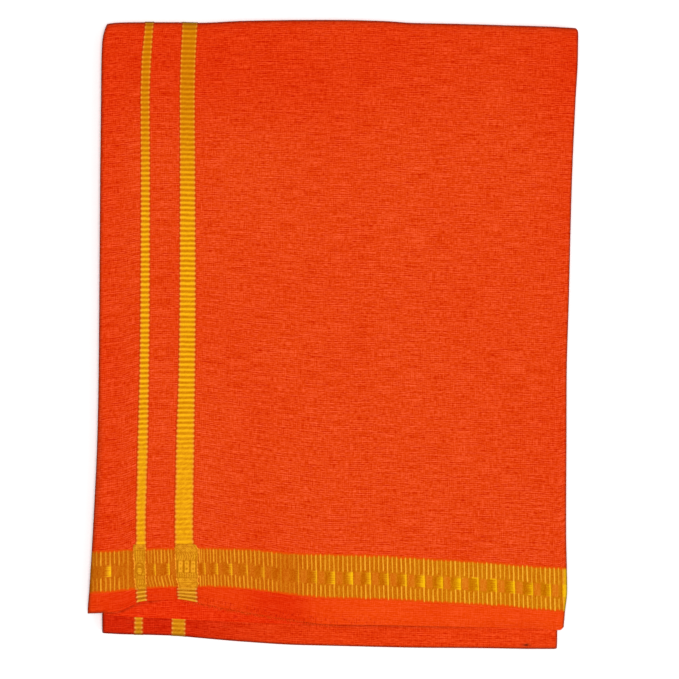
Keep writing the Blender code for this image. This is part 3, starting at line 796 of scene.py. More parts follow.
def border_strip(name, table, border, rows, travel, pitch, lift, columns, material, ribs=1.0,
                 turned=False, wear=None, rims=(), keen=0.12, bead=(0.62, 0.60)):
    """A woven border: ribs across it, and firmer beads along both its edges.

    travel is each row's distance along the border in millimetres, wear gives
    its dullness and its lost contrast there, rims how much painted shade it takes at a fold,
    keen how narrow its ribs are, and bead the tone and the contrast of its edges.
    """
    width = float(curve(table, border + "_to", MID_HEIGHT) - curve(table, border + "_from", MID_HEIGHT))
    beside = np.array([-SPILL, -SPILL / 2.0, 0.0, SPILL / 2.0, SPILL, 1.3]) / width
    inner_share = np.linspace(1.8 / width, 1.0 - 1.8 / width, columns)
    share = np.concatenate([beside, inner_share, 1.0 - beside[::-1]])
    grid_share, grid_travel = np.meshgrid(share, travel, indexing="xy")
    inset = np.minimum(grid_share, 1.0 - grid_share) * width
    dull_and_shade, flat = wear(travel) if wear else (np.zeros_like(travel), np.zeros_like(travel))
    side = np.where(grid_share < 0.5, 0.0, 9.0)
    wavy = (0.10 + 0.45 * flat[:, None]) * noise(grid_travel, side, 2.1, 1.0, 50)
    edge = 1.0 - ease((inset + wavy - 0.75) / 0.7)
    wander = 0.07 * noise(travel, 0.0, 9.0, 1.0, 51) + 0.05 * noise(travel, 0.0, 3.1, 1.0, 52)
    bend = 0.05 * noise(grid_share * 9.0, grid_travel, 2.2, 6.0, 53)
    phase = grid_travel / pitch + wander[:, None] + bend
    crest = 0.5 + 0.5 * np.sin(2.0 * math.pi * phase)
    sharp = ease(crest * 1.25 - keen)
    amount = (1.0 - flat)[:, None] * (0.88 + 0.12 * noise(grid_share * 8.0, grid_travel, 3.0, 3.4, 54))
    slant = SLANT_COSINE * grid_travel - SLANT_SINE * grid_share * width
    knit = noise(SLANT_COSINE * grid_share * width + SLANT_SINE * grid_travel, slant, 1.7, 0.8, 55)
    mottle = (0.10 + 0.20 * flat[:, None]) * knit + 0.08 * flat[:, None]
    rise = PROUD + ribs * RIB_RISE * sharp * (0.82 + 0.35 * edge) * (1.0 - 0.55 * flat[:, None])
    centre = 0.50 + (sharp - 0.5) * amount * 0.92 + mottle
    beads = bead[0] + (sharp - 0.5) * bead[1] * (0.35 + 0.65 * amount)
    tone = centre * (1.0 - edge) + beads * edge
    warm = np.clip(0.10 + 0.80 * edge + 0.12 * (1.0 - sharp), 0.0, 1.0)
    scallop = 0.68 * (sharp - 0.5) * (1.0 - 0.7 * flat[:, None])
    bleed = 1.0 - ease((inset + 0.5 * SPILL + scallop + 0.6 * wavy) / 1.35)
    rise = np.where(inset < 0.0, 0.02 + 0.06 * sharp, rise)
    rise[:, 0] = rise[:, -1] = -0.02
    face = columns_between(border + "_from", border + "_to", share)
    outer, inner = raised(table, rows, face, rise, lift)
    tones = {"tone": tone, "warm": warm, "dull_and_shade": dull_and_shade[:, None] * (1.0 - 0.7 * edge),
             "bleed": bleed, "rim": rim_shade_of(outer, dict(rims))}
    return wall_object(name, [(outer, inner)], material, tones, turned)


def front_wear(travel):
    """The front's borders lose their relief towards the band and their gold towards the fold."""
    low = 1.0 - ease((travel - 40.0) / 60.0)
    high = ease((travel - 200.0) / 130.0)
    return 0.85 * high, 0.62 * low + 0.10 * high


def tail_wear(travel):
    return np.full_like(travel, 0.70), np.full_like(travel, 0.30)


def travelled(rows, x):
    """Distance along a column of rows, in millimetres."""
    places = []
    for row in rows:
        y, z, _, _ = frame_of(row, np.array([x]))
        places.append((float(y[0]), float(z[0])))
    steps = np.hypot(*np.diff(np.array(places), axis=0).T)
    return np.concatenate([[0.0], np.cumsum(steps)])


# --- the cross band ---
BAND_COLUMNS = 1000
BAND_ROWS = 43
BAND_HEIGHT = 27.0
BLOCK_PITCH = 12.1
BLOCK_SQUEEZE = 5.5     # blocks crowd together towards the wide border
SQUEEZE_FROM = -85.0
SQUEEZE_FADE = 22.0
LAST_BLOCK = 146.5
BLOCK_SHARE = 0.46
MIDDLE_FROM = 0.305     # the blocks' row, in shares of the band's height
MIDDLE_TO = 0.63
TICK_WIDTH = 0.43
BAND_GROUND = 0.13      # how much gold the ground between the threads shows
TICKS_PER_BLOCK = 4
SELVEDGE_GOLD = 155.1   # from here to the right edge the band is all gold
WORN_AT = -30.5         # here the threads have sunk in
WORN_SPREAD = 7.5

# Upright threads left of the narrow border and between the two borders.
Tick = namedtuple("Tick", "place strength through")
LEFT_TICKS = rows_of(Tick, (
    (-161.0, 0.40, 0.0), (-158.4, 0.60, 0.0), (-155.6, 0.95, 0.0), (-152.3, 0.90, 0.0),
    (-149.3, 1.00, 0.0), (-146.4, 0.95, 0.0), (-143.3, 0.95, 0.0), (-140.4, 0.55, 0.0),
    (-137.3, 0.65, 0.8), (-123.4, 0.45, 0.0), (-121.4, 0.65, 0.0), (-119.2, 0.95, 0.8),
    (-116.9, 0.85, 0.0), (-114.6, 0.85, 0.0), (-112.3, 0.85, 0.0), (-109.8, 0.95, 0.8),
    (-107.8, 0.60, 0.0),
))
# Blocks: right-hand end, pitch, strength and whether a loose thread caps it.
Block = namedtuple("Block", "end pitch strength capped")
LEFT_BLOCKS = rows_of(Block, (
    (-109.6, 7.0, 0.75, False), (-119.0, 4.6, 0.80, False), (-148.9, 10.6, 1.10, False),
))
BLOCK_STRENGTHS = (0.50, 0.58, 0.70, 0.55, 0.50, 0.95, 0.78, 1.00, 0.62, 0.52, 0.68, 0.95, 0.80, 0.45,
                   0.28, 0.15, 0.42, 0.40, 0.62, 0.68, 0.50)
CAPPED = (3, 4)
END_BLOCK = Block(155.4, 2.8, 0.95, False)
# Where a border crosses the band it has a dense figure of its own, from a cap above
# the band down to the heading.  Its outline is a row for each height.
Outline = namedtuple("Outline", "height left right")
WIDE_OUTLINE = rows_of(Outline, (
    (39.8, -104.0, -90.7),
    (41.7, -104.0, -90.3),
    (43.1, -104.2, -89.4),
    (46.0, -105.2, -90.1),
    (48.4, -105.4, -89.3),
    (51.4, -105.8, -90.2),
    (58.5, -106.0, -90.2),
    (62.2, -106.2, -89.4),
    (67.0, -106.3, -90.1),
    (68.8, -106.1, -91.1),
    (70.2, -105.3, -92.6),
))
NARROW_OUTLINE = rows_of(Outline, (
    (39.5, -132.6, -124.7),
    (42.4, -132.9, -124.6),
    (48.0, -133.6, -124.9),
    (51.0, -134.0, -124.8),
    (56.0, -133.6, -125.2),
    (63.0, -134.3, -125.0),
    (68.5, -134.2, -125.3),
    (70.1, -133.4, -126.0),
))
# Its zones from the top down: where each ends, what it shows and the pitch of that.
Zone = namedtuple("Zone", "bottom kind pitch")
WIDE_ZONES = rows_of(Zone, (
    (64.4, "smooth", 1.4), (59.1, "hatch", 1.6), (51.0, "pads", 3.2), (47.6, "strokes", 1.6),
    (44.1, "bar", 1.4), (40.2, "bar", 1.4),
))
NARROW_ZONES = rows_of(Zone, (
    (65.9, "smooth", 1.3), (62.4, "strokes", 1.5), (58.8, "strokes", 1.5), (49.0, "ring", 5.4),
    (46.2, "strokes", 1.5), (42.4, "hatch", 1.5), (39.7, "bar", 1.4),
))
Crossing = namedtuple("Crossing", "border outline zones figures start end")
CROSSINGS = rows_of(Crossing, (
    ("narrow", NARROW_OUTLINE, NARROW_ZONES, (-129.6,), -134.2, -124.9),
    ("wide", WIDE_OUTLINE, WIDE_ZONES, (-102.1, -97.9, -93.6), -106.0, -90.0),
))
PATCH_GRAIN = 0.2
DOT_HEIGHTS = (57.0, 53.5)
DOT_RADIUS = 0.62
RING_MIDDLE = 53.3
RING_HALF_HEIGHT = 4.1


def band_blocks():
    """Every block of the band, from the right edge."""
    blocks = [END_BLOCK]
    x = LAST_BLOCK
    for number, strength in enumerate(BLOCK_STRENGTHS):
        pitch = BLOCK_PITCH - BLOCK_SQUEEZE * math.exp(-(x - SQUEEZE_FROM) / SQUEEZE_FADE)
        blocks.append(Block(x, pitch, strength, number in CAPPED))
        x -= pitch
    return blocks + list(LEFT_BLOCKS)


def band_ticks():
    """Every upright thread of the band."""
    ticks = list(LEFT_TICKS)
    for block in band_blocks():
        if block.end < SQUEEZE_FROM - 2.0 or block is END_BLOCK:
            continue
        for step in range(TICKS_PER_BLOCK):
            place = block.end - 0.4 - step * block.pitch / TICKS_PER_BLOCK
            dulled = float(bell((place - WORN_AT) / WORN_SPREAD))
            strength = (0.90 + 0.15 * float(ease((place + 24.0) / 14.0))) * (1.0 - 0.72 * dulled)
            ticks.append(Tick(place, strength, 1.0 if step == 0 else 0.0))
    for step in (1, 2, 3):
        ticks.append(Tick(LAST_BLOCK - 0.4 + 2.95 * step, 0.95, 1.0 if step == 3 else 0.0))
    return [tick for tick in ticks if not in_crossing(np.array([tick.place]))[0]]


def in_crossing(x, y=54.0, inset=0.0):
    """Whether a place lies on a crossing, further in than an inset."""
    inside = np.zeros(np.shape(x), dtype=bool)
    for crossing in CROSSINGS:
        left = curve(crossing.outline, "left", y) + inset
        right = curve(crossing.outline, "right", y) - inset
        inside |= (x > left) & (x < right)
    return inside


def band_threads(x, share, lean, low, high):
    """Gold of the band's upright threads, and the shade they cast on the ground beside them.

    Most threads stop short of the blocks' row, from low to high, and a few go through it.
    """
    up = share * BAND_HEIGHT
    between = within(x, -128.0, 4.0, -108.0, 4.0)
    slant = between * 1.1 * (ease((low - share) / low) - 0.5) * (share < low)
    gold = np.zeros(x.shape)
    shade = np.zeros(x.shape)
    for number, tick in enumerate(band_ticks()):
        level = tick.strength * min(1.1, 0.94 + 0.26 * float(noise(number, 5.0, 1.0, 1.0, 62)))
        middle = tick.place + lean * (0.5 - share) + slant
        middle = middle + 0.16 * noise(up, number * 3.0, 5.0, 1.0, 63)
        width = TICK_WIDTH * (1.0 + 0.20 * float(noise(number, 2.0, 1.0, 1.0, 58)))
        patchy = 0.92 + 0.16 * noise(up, number * 5.0, 1.5, 1.0, 59)
        short = 0.03 * float(noise(number, 9.0, 1.0, 1.0, 61))
        hidden = ease((share - low + 0.02 + short) / 0.035) * ease((high - share + 0.02 - short) / 0.035)
        shown = np.maximum(1.0 - hidden, tick.through * (1.0 if tick.strength > 0.3 else 0.6))
        gold = np.maximum(gold, level * patchy * bell((x - middle) / width) * shown)
        shade = np.maximum(shade, level * shown * bell((x - middle) / (2.3 * width)))
    return gold, shade


def band_bricks(x, share, lean, row, high):
    """Gold of the band's blocks, the lit ground after each and the dark ground before it."""
    up = share * BAND_HEIGHT
    bricks = np.zeros(x.shape)
    after = np.zeros(x.shape)
    before = np.zeros(x.shape)
    for block in band_blocks():
        wide = block.pitch * BLOCK_SHARE
        beyond = x - lean * (0.5 - share) - block.end
        comb = 0.20 * np.sin(2.0 * math.pi * up / 1.15 + block.end)
        comb = comb + 0.16 * noise(up, block.end, 0.6, 1.0, 60)
        ramp = np.clip((beyond + wide) / wide + comb, 0.0, 1.0)
        body = (0.14 * ease(ramp * 4.0) + 0.86 * ramp ** max(0.7, 4.2 - 3.4 * block.strength)) * ramp
        brick = min(1.0, 0.35 + 0.65 * block.strength) * body * (1.0 - ease(beyond / 0.5)) * row
        brick = brick * min(1.0, block.strength * 1.9)
        if block.capped:
            cap = bell((share - high + 0.01) * BAND_HEIGHT / 0.4)
            brick = np.maximum(brick, 0.75 * cap * (np.abs(beyond + 2.2) < 2.2))
        bricks = np.maximum(bricks, brick)
        lit = row * ease((beyond - 0.4) / 1.2) * ease((0.50 * block.pitch - beyond) / 1.4)
        after = np.maximum(after, lit)
        before = np.maximum(before, row * ease((beyond + wide + 1.2) / 1.2) * (beyond < 0.0))
    return bricks, after, before


def band_pattern(x, share):
    """Height, tone, warmth and the blocks' own share of the band at each place."""
    up = share * BAND_HEIGHT
    lean = 0.25 + within(x, -128.0, 4.0, -62.0, 45.0) + 0.3 * ease((x + 20.0) / 30.0)
    lift = 0.045 * (1.0 - ease((x + 140.0) / 20.0))
    low = MIDDLE_FROM + lift
    high = MIDDLE_TO + lift * 0.6
    row = ease((share - low) / 0.03) * ease((high - share) / 0.03)
    gold, shade = band_threads(x, share, lean, low, high)
    bricks, after, before = band_bricks(x, share, lean, row, high)
    warm = np.where(bricks > gold * 0.75, np.clip(0.75 - 1.1 * bricks, 0.0, 1.0), 0.30 + 0.65 * gold)
    ground = BAND_GROUND * (1.0 - 0.95 * shade) * (1.0 - 0.45 * before) + 0.04 * after
    ground = ground + 0.05 * noise(x, up, 0.8, 4.5, 57) * (1.0 - shade)
    fold = (0.66 + 0.30 * row) * ease((x - SELVEDGE_GOLD) / 0.7)
    fold = fold * (0.92 + 0.12 * noise(up, 0.0, 0.9, 1.0, 74))
    warm = np.where(fold > 0.5, 0.15, warm)
    tone = np.maximum(np.maximum(gold, fold), bricks)
    height = PROUD + 0.24 * tone + 0.05 * noise(x, up, 1.1, 1.3, 64)
    tone = tone + ground * (1.0 - tone) + 0.05 * noise(x, up, 0.9, 3.0, 65)
    warm = np.maximum(warm * (1.0 - 0.9 * before), 0.9 * after)
    return height, tone, warm, bricks


def stripes(place, pitch):
    return 0.5 + 0.5 * np.sin(2.0 * math.pi * place / pitch)


def pads_tone(x, y, zone, middles, speckle):
    """Bright upright pads with dark dots, on a dark ground."""
    tone = np.full(x.shape, 0.16)
    for middle in middles:
        pad = ease((zone.pitch / 2.0 + 0.25 + 0.12 * speckle - np.abs(x - middle)) / 0.75)
        dots = np.zeros(x.shape)
        for height in DOT_HEIGHTS:
            dots += bell(np.hypot(x - middle, y - height) / DOT_RADIUS)
        tone = np.maximum(tone, pad * (0.86 + 0.12 * speckle - 0.66 * np.clip(dots, 0.0, 1.0)))
    return tone + 0.06 * speckle


def ring_tone(x, y, zone, middle, speckle):
    """A bright oval inside a dark ring, with a small dome over it."""
    rise = y - RING_MIDDLE
    rough = 0.16 * noise(x, y, 1.1, 0.9, 75)
    reach = np.hypot((x - middle) / (zone.pitch / 2.0), rise / RING_HALF_HEIGHT) + rough
    oval = np.hypot((x - middle) / 1.75, (rise + 1.15) / 2.5) + rough
    dome = bell(np.hypot((x - middle) / 1.3, (rise - 3.05) / 0.55))
    around = (0.62 + 0.14 * speckle) * (1.0 - 0.85 * bell((reach - 1.0) / 0.17))
    inside = ease((0.9 - reach) / 0.12)
    bars = 0.20 * np.sin(2.0 * math.pi * rise / 1.9)
    core = 0.20 + (0.58 + bars) * ease((1.05 - oval) / 0.3) + 0.7 * dome
    return around * (1.0 - inside) + core * inside


def zone_tone(zone, x, y, crossing):
    """How bright one zone of a crossing is at each place."""
    speckle = noise(x, y, 0.9, 0.8, 66)
    if zone.kind == "pads":
        return pads_tone(x, y, zone, crossing.figures, speckle)
    if zone.kind == "ring":
        return ring_tone(x, y, zone, crossing.figures[0], speckle)
    if zone.kind in ("strokes", "hatch"):
        lean = 0.26 * speckle
        if zone.kind == "hatch":
            lean = 0.55 * np.abs(((y - zone.bottom) / 2.6) % 2.0 - 1.0) * zone.pitch + 0.24 * speckle
        return 0.24 + 0.46 * stripes(x + lean, zone.pitch) + 0.16 * speckle
    knit = stripes(y + 0.22 * np.sin(2.0 * math.pi * x / 1.7) + 0.12 * speckle, zone.pitch)
    if zone.kind == "smooth":
        return 0.36 + 0.34 * knit + 0.22 * noise(x, y, 1.5, 1.2, 67) + 0.16 * speckle
    return 0.42 + 0.30 * knit + 0.22 * noise(x, y, 1.8, 1.5, 68) + 0.16 * speckle


def crossing_pattern(x, y, crossing):
    """Tone and warmth of a crossing's dense figure."""
    tone = np.zeros(x.shape)
    top = np.inf
    for zone in crossing.zones:
        here = (y <= top) & (y > zone.bottom)
        tone = np.where(here, zone_tone(zone, x, y, crossing), tone)
        top = zone.bottom
    for zone in crossing.zones[:-1]:
        seam = y - zone.bottom + 0.25 * noise(x, zone.bottom, 1.2, 1.0, 72)
        tone = tone * (1.0 - 0.50 * bell(seam / 0.36))
    left = curve(crossing.outline, "left", y)
    right = curve(crossing.outline, "right", y)
    beside = np.minimum(x - left, right - x)
    rim = 1.0 - ease((beside - 0.85) / 0.4)
    beads = 0.62 + 0.55 * noise(y, np.where(x < (left + right) / 2.0, 0.0, 9.0), 1.5, 1.0, 69)
    tone = tone * (1.0 - 0.5 * bell((beside - 1.55) / 0.35))
    tone = tone * (1.0 - rim) + beads * rim
    warm = np.clip(0.25 + 0.5 * rim + 0.15 * noise(x, y, 2.0, 2.0, 70), 0.0, 1.0)
    tone = tone * (0.92 + 0.12 * noise(x, y, 4.0, 3.0, 73))
    return tone, warm


def crossing_patch(crossing, material):
    """The dense figure where a border crosses the band, as a thin patch over both."""
    share = shares(int(round((crossing.end - crossing.start) / PATCH_GRAIN)))
    heights = np.arange(crossing.outline[0].height, crossing.outline[-1].height, PATCH_GRAIN)

    def face(table, y):
        left = curve(crossing.outline, "left", y) - 0.22 * np.sin(2.0 * math.pi * y / 2.3)
        right = curve(crossing.outline, "right", y) + 0.30 * np.sin(2.0 * math.pi * y / 2.3 + 1.0)
        return left + (right - left) * share

    rows = [Row("top", float(height), float(height), 0.0) for height in heights]
    x, y = plan(lay(FRONT_SECTIONS, rows, face, np.zeros(len(share)), flat_lift))
    tone, warm = crossing_pattern(x, y, crossing)
    rise = PROUD + 0.12 + 0.22 * tone
    rise[0] = rise[-1] = rise[:, 0] = rise[:, -1] = PROUD - 0.12
    outer, inner = raised(FRONT_SECTIONS, rows, face, rise, front_lift)
    beside = np.minimum(x - x[:, :1], x[:, -1:] - x)
    tones = {"tone": tone, "warm": warm, "dull_and_shade": np.zeros(tone.shape), "rim": np.zeros(tone.shape),
             "bleed": 0.45 * (1.0 - ease(beside / 0.7))}
    return wall_object(crossing.border + "_crossing", [(outer, inner)], material, tones)


def cross_band(material):
    """The woven band near the cut end."""
    up = np.concatenate([[-0.030, -0.020, -0.010], shares(BAND_ROWS), [1.010, 1.020, 1.030]])
    face = columns_between("left", "right", shares(BAND_COLUMNS), 0.15, 0.05)
    band_rows = [Row("top", "band_foot", "band_top", share) for share in up]
    x, y = plan(lay(FRONT_SECTIONS, band_rows, face, np.zeros(BAND_COLUMNS), flat_lift))
    share = np.repeat(up[:, None], BAND_COLUMNS, axis=1)
    height, tone, warm, bricks = band_pattern(x, share)
    height = np.where(in_crossing(x, y, 0.8), 0.0, height)
    # Painted shade: the band is duller to the left, where the cloth tilts, and brighter to the right.
    dull_and_shade = 0.75 - 0.40 * ease((x + 24.0) / 20.0) - 0.35 * ease((x - 30.0) / 60.0)
    dull_and_shade = dull_and_shade * (1.0 - 0.8 * bricks)
    inset = np.minimum(share, 1.0 - share) * BAND_HEIGHT
    height = np.where(inset < 0.0, 0.02 + (height - PROUD) * 0.8, height)
    height[0] = height[-1] = -0.02
    outer, inner = raised(FRONT_SECTIONS, band_rows, face, height, front_lift)
    # Painted shade at the band's two ends.
    tones = {"tone": tone, "warm": warm, "dull_and_shade": dull_and_shade, "rim": rim_shade_of(outer, {"left": 0.6, "right": 0.95}),
             "bleed": 1.0 - ease((inset - 0.1 + 0.8 * tone + 0.5 * noise(x, share, 1.1, 0.5, 56)) / 1.3)}
    return wall_object("cross_band_weave", [(outer, inner)], material, tones)


# --- the folded layers at the sides ---
PANELS = 5
PLIES = 4
LEAF_TOP = 3.5          # thickness kept for the panel on top, with its slack
FIRST_CUT = {"left": 27.0, "right": 17.0}
INWARDS = (13.0, 8.0, 4.0, 1.6)         # how far each edge is followed inwards, in steps
ROLL_STEPS = 14


def leaf_route(side):
    """The middle line of the four-ply leaf at one side, from its cut end inwards.

    Each row has a height along the pack, a height above the floor, the outward
    direction's two parts and the leaf's thickness.
    """
    def stack(y):
        return pack_top(curve(BACK_SECTIONS, side, y), y)

    top_y = float(edge_along("top_start", curve(BACK_SECTIONS, side, 415.0)))
    tail_y = float(edge_along("tail_start", curve(BACK_SECTIONS, side, 12.0)))
    leaf = (float(stack(MID_HEIGHT)) - LEAF_TOP) / (PANELS - 1)

    def level(panel, y):
        rest = (stack(y) - LEAF_TOP) / (PANELS - 1)
        return float({1: stack(y) - 1.5, 3: stack(y) - LEAF_TOP - 0.5 * rest,
                      5: stack(y) - LEAF_TOP - 1.5 * rest, 4: 1.5 * rest, 2: 0.5 * rest}[panel])

    route = []

    def run(panel, start, end, up):
        for y in np.linspace(start, end, max(2, int(abs(end - start) / 4.0))):
            route.append((y, level(panel, y), 0.0, up, LEAF_TOP - 0.9 if panel == 1 else leaf))

    def roll(y, reach, upper, lower, way, rising):
        high = level(upper, y)
        low = level(lower, y)
        angles = np.linspace(-90.0, 90.0, ROLL_STEPS)[1:-1] * (1.0 if rising else -1.0)
        for angle in np.radians(angles):
            cosine = way * math.cos(angle)
            sine = math.sin(angle)
            z = (high + low) / 2.0 + (high - low) / 2.0 * sine
            route.append((y + cosine * reach, z, cosine, sine, leaf))

    run(1, FIRST_CUT[side], top_y, 1.0)
    roll(top_y, TOP_REACH - 1.6, 1, 2, 1.0, False)
    run(2, top_y, tail_y, -1.0)
    roll(tail_y, TAIL_REACH - leaf / 2.0, 3, 2, -1.0, True)
    run(3, tail_y, top_y - 1.4, 1.0)
    roll(top_y - 1.4, 2.3, 3, 4, 1.0, False)
    run(4, top_y - 1.4, tail_y + 1.0, -1.0)
    roll(tail_y + 1.0, 1.5, 5, 4, -1.0, True)
    run(5, tail_y + 1.0, top_y - 5.0, 1.0)
    return np.array(route)


def ribbon(route, side, kind, place, seed):
    """One edge of the leaf as a thin wall that follows it.

    kind is fold, where two plies join, or selvedge.  place is the fold's or the
    ply's distance from the leaf's middle, in plies.
    """
    way = 1.0 if side == "right" else -1.0
    y, z, ny, nz, leaf = route.T
    pitch = leaf / PLIES
    travel = np.concatenate([[0.0], np.cumsum(np.hypot(np.diff(y), np.diff(z)))])
    inset = 0.55 + 0.5 * noise(travel, 0.0, 46.0, 1.0, seed)
    inset = inset + 0.22 * noise(travel, 0.0, 13.0, 1.0, seed + 1)
    drift = 0.07 * noise(travel, 0.0, 24.0, 1.0, seed + 2)
    half = THICK * 0.42
    folded = kind == "fold"
    profile = [(run, 0.0, 1.0) for run in INWARDS]
    if folded:
        bend = np.radians([90, 55, 20, -20, -55, -90])
        profile += [(0.0, math.cos(angle), math.sin(angle)) for angle in bend]
        profile += [(run, 0.0, -1.0) for run in reversed(INWARDS)]
    else:
        profile += [(0.7, 0.0, 1.0), (0.0, 0.0, 1.0)]
    radius = pitch / 2.0 if folded else np.zeros_like(pitch)
    faces = ([], [])
    for run, beside, up in profile:
        for lines, depth in zip(faces, (-half, half)):
            reach = radius - depth
            x = curve(BACK_SECTIONS, side, y) - way * (inset + run)
            if folded:
                x = x - way * radius + way * reach * beside
            off = place * pitch + reach * up + drift
            lines.append(to_metres(x, y + off * ny, z + off * nz))
    return [np.array(lines).transpose(1, 0, 2) for lines in faces]


def side_layers(side, material):
    """The four plies' edges at one side, all the way round the roll."""
    route = leaf_route(side)
    inner_part = route[first_hidden(route):]
    if side == "right":
        parts = [ribbon(inner_part, side, "fold", 1.0, 71), ribbon(route, side, "fold", -1.0, 73)]
    else:
        parts = [ribbon(inner_part, side, "selvedge", 1.5, 75), ribbon(route, side, "fold", 0.0, 77),
                 ribbon(route, side, "selvedge", -1.5, 79)]
    return wall_object(side + "_edges", parts, material, turned=side == "right")


def first_hidden(route):
    """Where the third panel goes in under the front, past the tail's cover."""
    turns = 0
    for number in range(1, len(route)):
        if route[number - 1][3] != -1.0 and route[number][3] == -1.0:
            turns += 1
        if turns == 1 and route[number][3] == 1.0 and route[number][0] > TAIL_COVER - 1.0:
            return number
    return 0


# --- loose fibres at the cut end ---
LOOSE = 900             # where the end has frayed
STRAY = 260             # along the rest of it
BENDS = 5


def loose_fibres(material):
    """Frayed threads along the cut end, each a thin bent tube of three sides."""
    rng = np.random.default_rng(7)
    points = []
    faces = []
    for number in range(LOOSE + STRAY):
        frayed = number < LOOSE
        x = rng.uniform(-100.0, 2.0) if frayed else rng.uniform(-150.0, 152.0)
        y = float(edge_along("cut_end", np.array([x]))[0])
        heading = rng.uniform(-1.25, 1.25)
        length = rng.uniform(1.0, 3.8) * (1.0 if frayed else 0.55)
        curl = rng.uniform(-0.9, 0.9)
        radius = rng.uniform(0.07, 0.14)
        y += rng.uniform(0.0, 0.8)
        for step in range(BENDS):
            place = np.array([x]), np.array([y])
            top = pack_top(*place)
            on_front = top - end_droop(*place) + 0.02
            below = top - np.where(edge_along("second_end", place[0]) < y, SECOND_SINK, TAIL_SINK) + 0.25
            fall = ease(step / 2.0) if frayed else 1.0
            z = float((on_front * (1.0 - fall) + below * fall)[0])
            for corner in range(3):
                angle = 2.0 * math.pi * corner / 3.0
                points.append(((x + radius * math.cos(angle)) * MM, (y - ORIGIN_HEIGHT) * MM,
                               (z + radius * math.sin(angle)) * MM))
                if step < BENDS - 1:
                    first = len(points) - 1
                    second = first - corner + (corner + 1) % 3
                    faces.append((first, second, second + 3, first + 3))
            heading += curl * 0.35
            x += math.sin(heading) * length / BENDS
            y -= math.cos(heading) * length / BENDS
    points = np.array(points)
    return mesh_object("loose_fibres", points, np.array(faces), points[:, :2], {}, material)


def second_shell(material):
    """The next ply's plain end, from its own cut end to where the front covers it."""
    share = np.concatenate([[0.0, 0.002, 0.006], np.linspace(0.012, 1.0, 150)])
    depth = 0.5 * np.clip(1.0 - share / 0.006, 0.0, 1.0) ** 2
    face = columns_between("left", "right", share, 0.35, 0.9)

    def lift(x, y, row):
        close = 1.0 - ease((y - edge_along("second_end", x)) / 4.0)
        return relief(x, y, 21, ()) * 0.8 - 0.55 * close

    rows = top_rows("second_end", TAIL_COVER, 16, 0.0, SECOND_SINK)
    outer = lay(BACK_SECTIONS, rows, face, depth, lift)
    inner = lay(BACK_SECTIONS, rows, face, depth + THICK, lift)
    # Painted shade along the second ply's left edge.
    tones = dyed(outer, second_dye, {"left": 0.9})
    return wall_object("second_ply_cloth", [(outer, inner)], material, tones, offset=(0.02, 0.4))


def declare(piece, slot, *nodes):
    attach(piece, "root")
    if nodes:
        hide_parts(*nodes)
    return piece


def rib_strength(rows):
    """1 where a border's ribs stand up, 0 where the pack rests on it."""
    resting = [row.kind == "floor" or (row.kind.endswith("fold") and row.share < -0.9) for row in rows]
    return np.where(resting, 0.0, 1.0)[:, None]


def woven_borders(on_front, on_back, on_tail):
    """Both borders, in four stretches each."""
    side_zari = zari("side_zari", ((196, 120, 0), (212, 112, 6)), ((253, 185, 8), (255, 172, 60)),
                     ((185, 96, 0), (216, 130, 10)), BESIDE_STRIPE, 3.0)
    end_zari = zari("end_zari", ((174, 102, 0), (188, 92, 4)), ((250, 176, 36), (255, 180, 86)),
                    ((184, 102, 0), (226, 148, 12)), BESIDE_STRIPE, 4.0)
    for border, columns, x, pitch in (("narrow", 15, -128.0, 2.75), ("wide", 25, -98.0, 2.35)):
        def stretch(part, table, rows, group, *options, **more):
            travel = travelled(rows, x)
            name = f"{border}_{part}_border"
            strip = border_strip(name, table, border, rows, travel, *options, **more)
            group.append(declare(strip, "zari_border", f"{border}_border_{part}"))

        rows = top_rows("band_top", "top_start", BORDER_STEPS, 0.15)
        rows += fold_rows("top_fold", 48) + seam_rows("top_fold", 1.0, 2.0, 3.0, SEAM_RUN)
        # Painted shade where the front stretch turns over the top fold.
        stretch("front", FRONT_SECTIONS, rows, on_front, RIB_PITCH, front_lift, columns, side_zari,
                rib_strength(rows), wear=front_wear, rims={"top": 0.9})
        stretch("heading", FRONT_SECTIONS, top_rows("cut_end", "band_foot", HEADING_STEPS, 0.4), on_front,
                pitch, front_lift, columns, end_zari, keen=0.34, bead=(0.60, 0.85))
        stretch("back", BACK_SECTIONS, under_rows(2 * FRONT_STEPS), on_back,
                RIB_PITCH, under_lift, 7, side_zari, 0.0, True)
        rows = seam_rows("tail_fold", SEAM_RUN, 2.0) + fold_rows("tail_fold", 40)[::-1]
        rows += top_rows("tail_start", TAIL_COVER, 80, 0.0, TAIL_SINK)
        # Painted shade at the tail stretch's foot.
        stretch("tail", BACK_SECTIONS, rows, on_tail, TAIL_RIB_PITCH, tail_lift, columns, end_zari,
                rib_strength(rows), wear=tail_wear, rims={"foot": 0.9}, keen=0.22, bead=(0.60, 0.95))


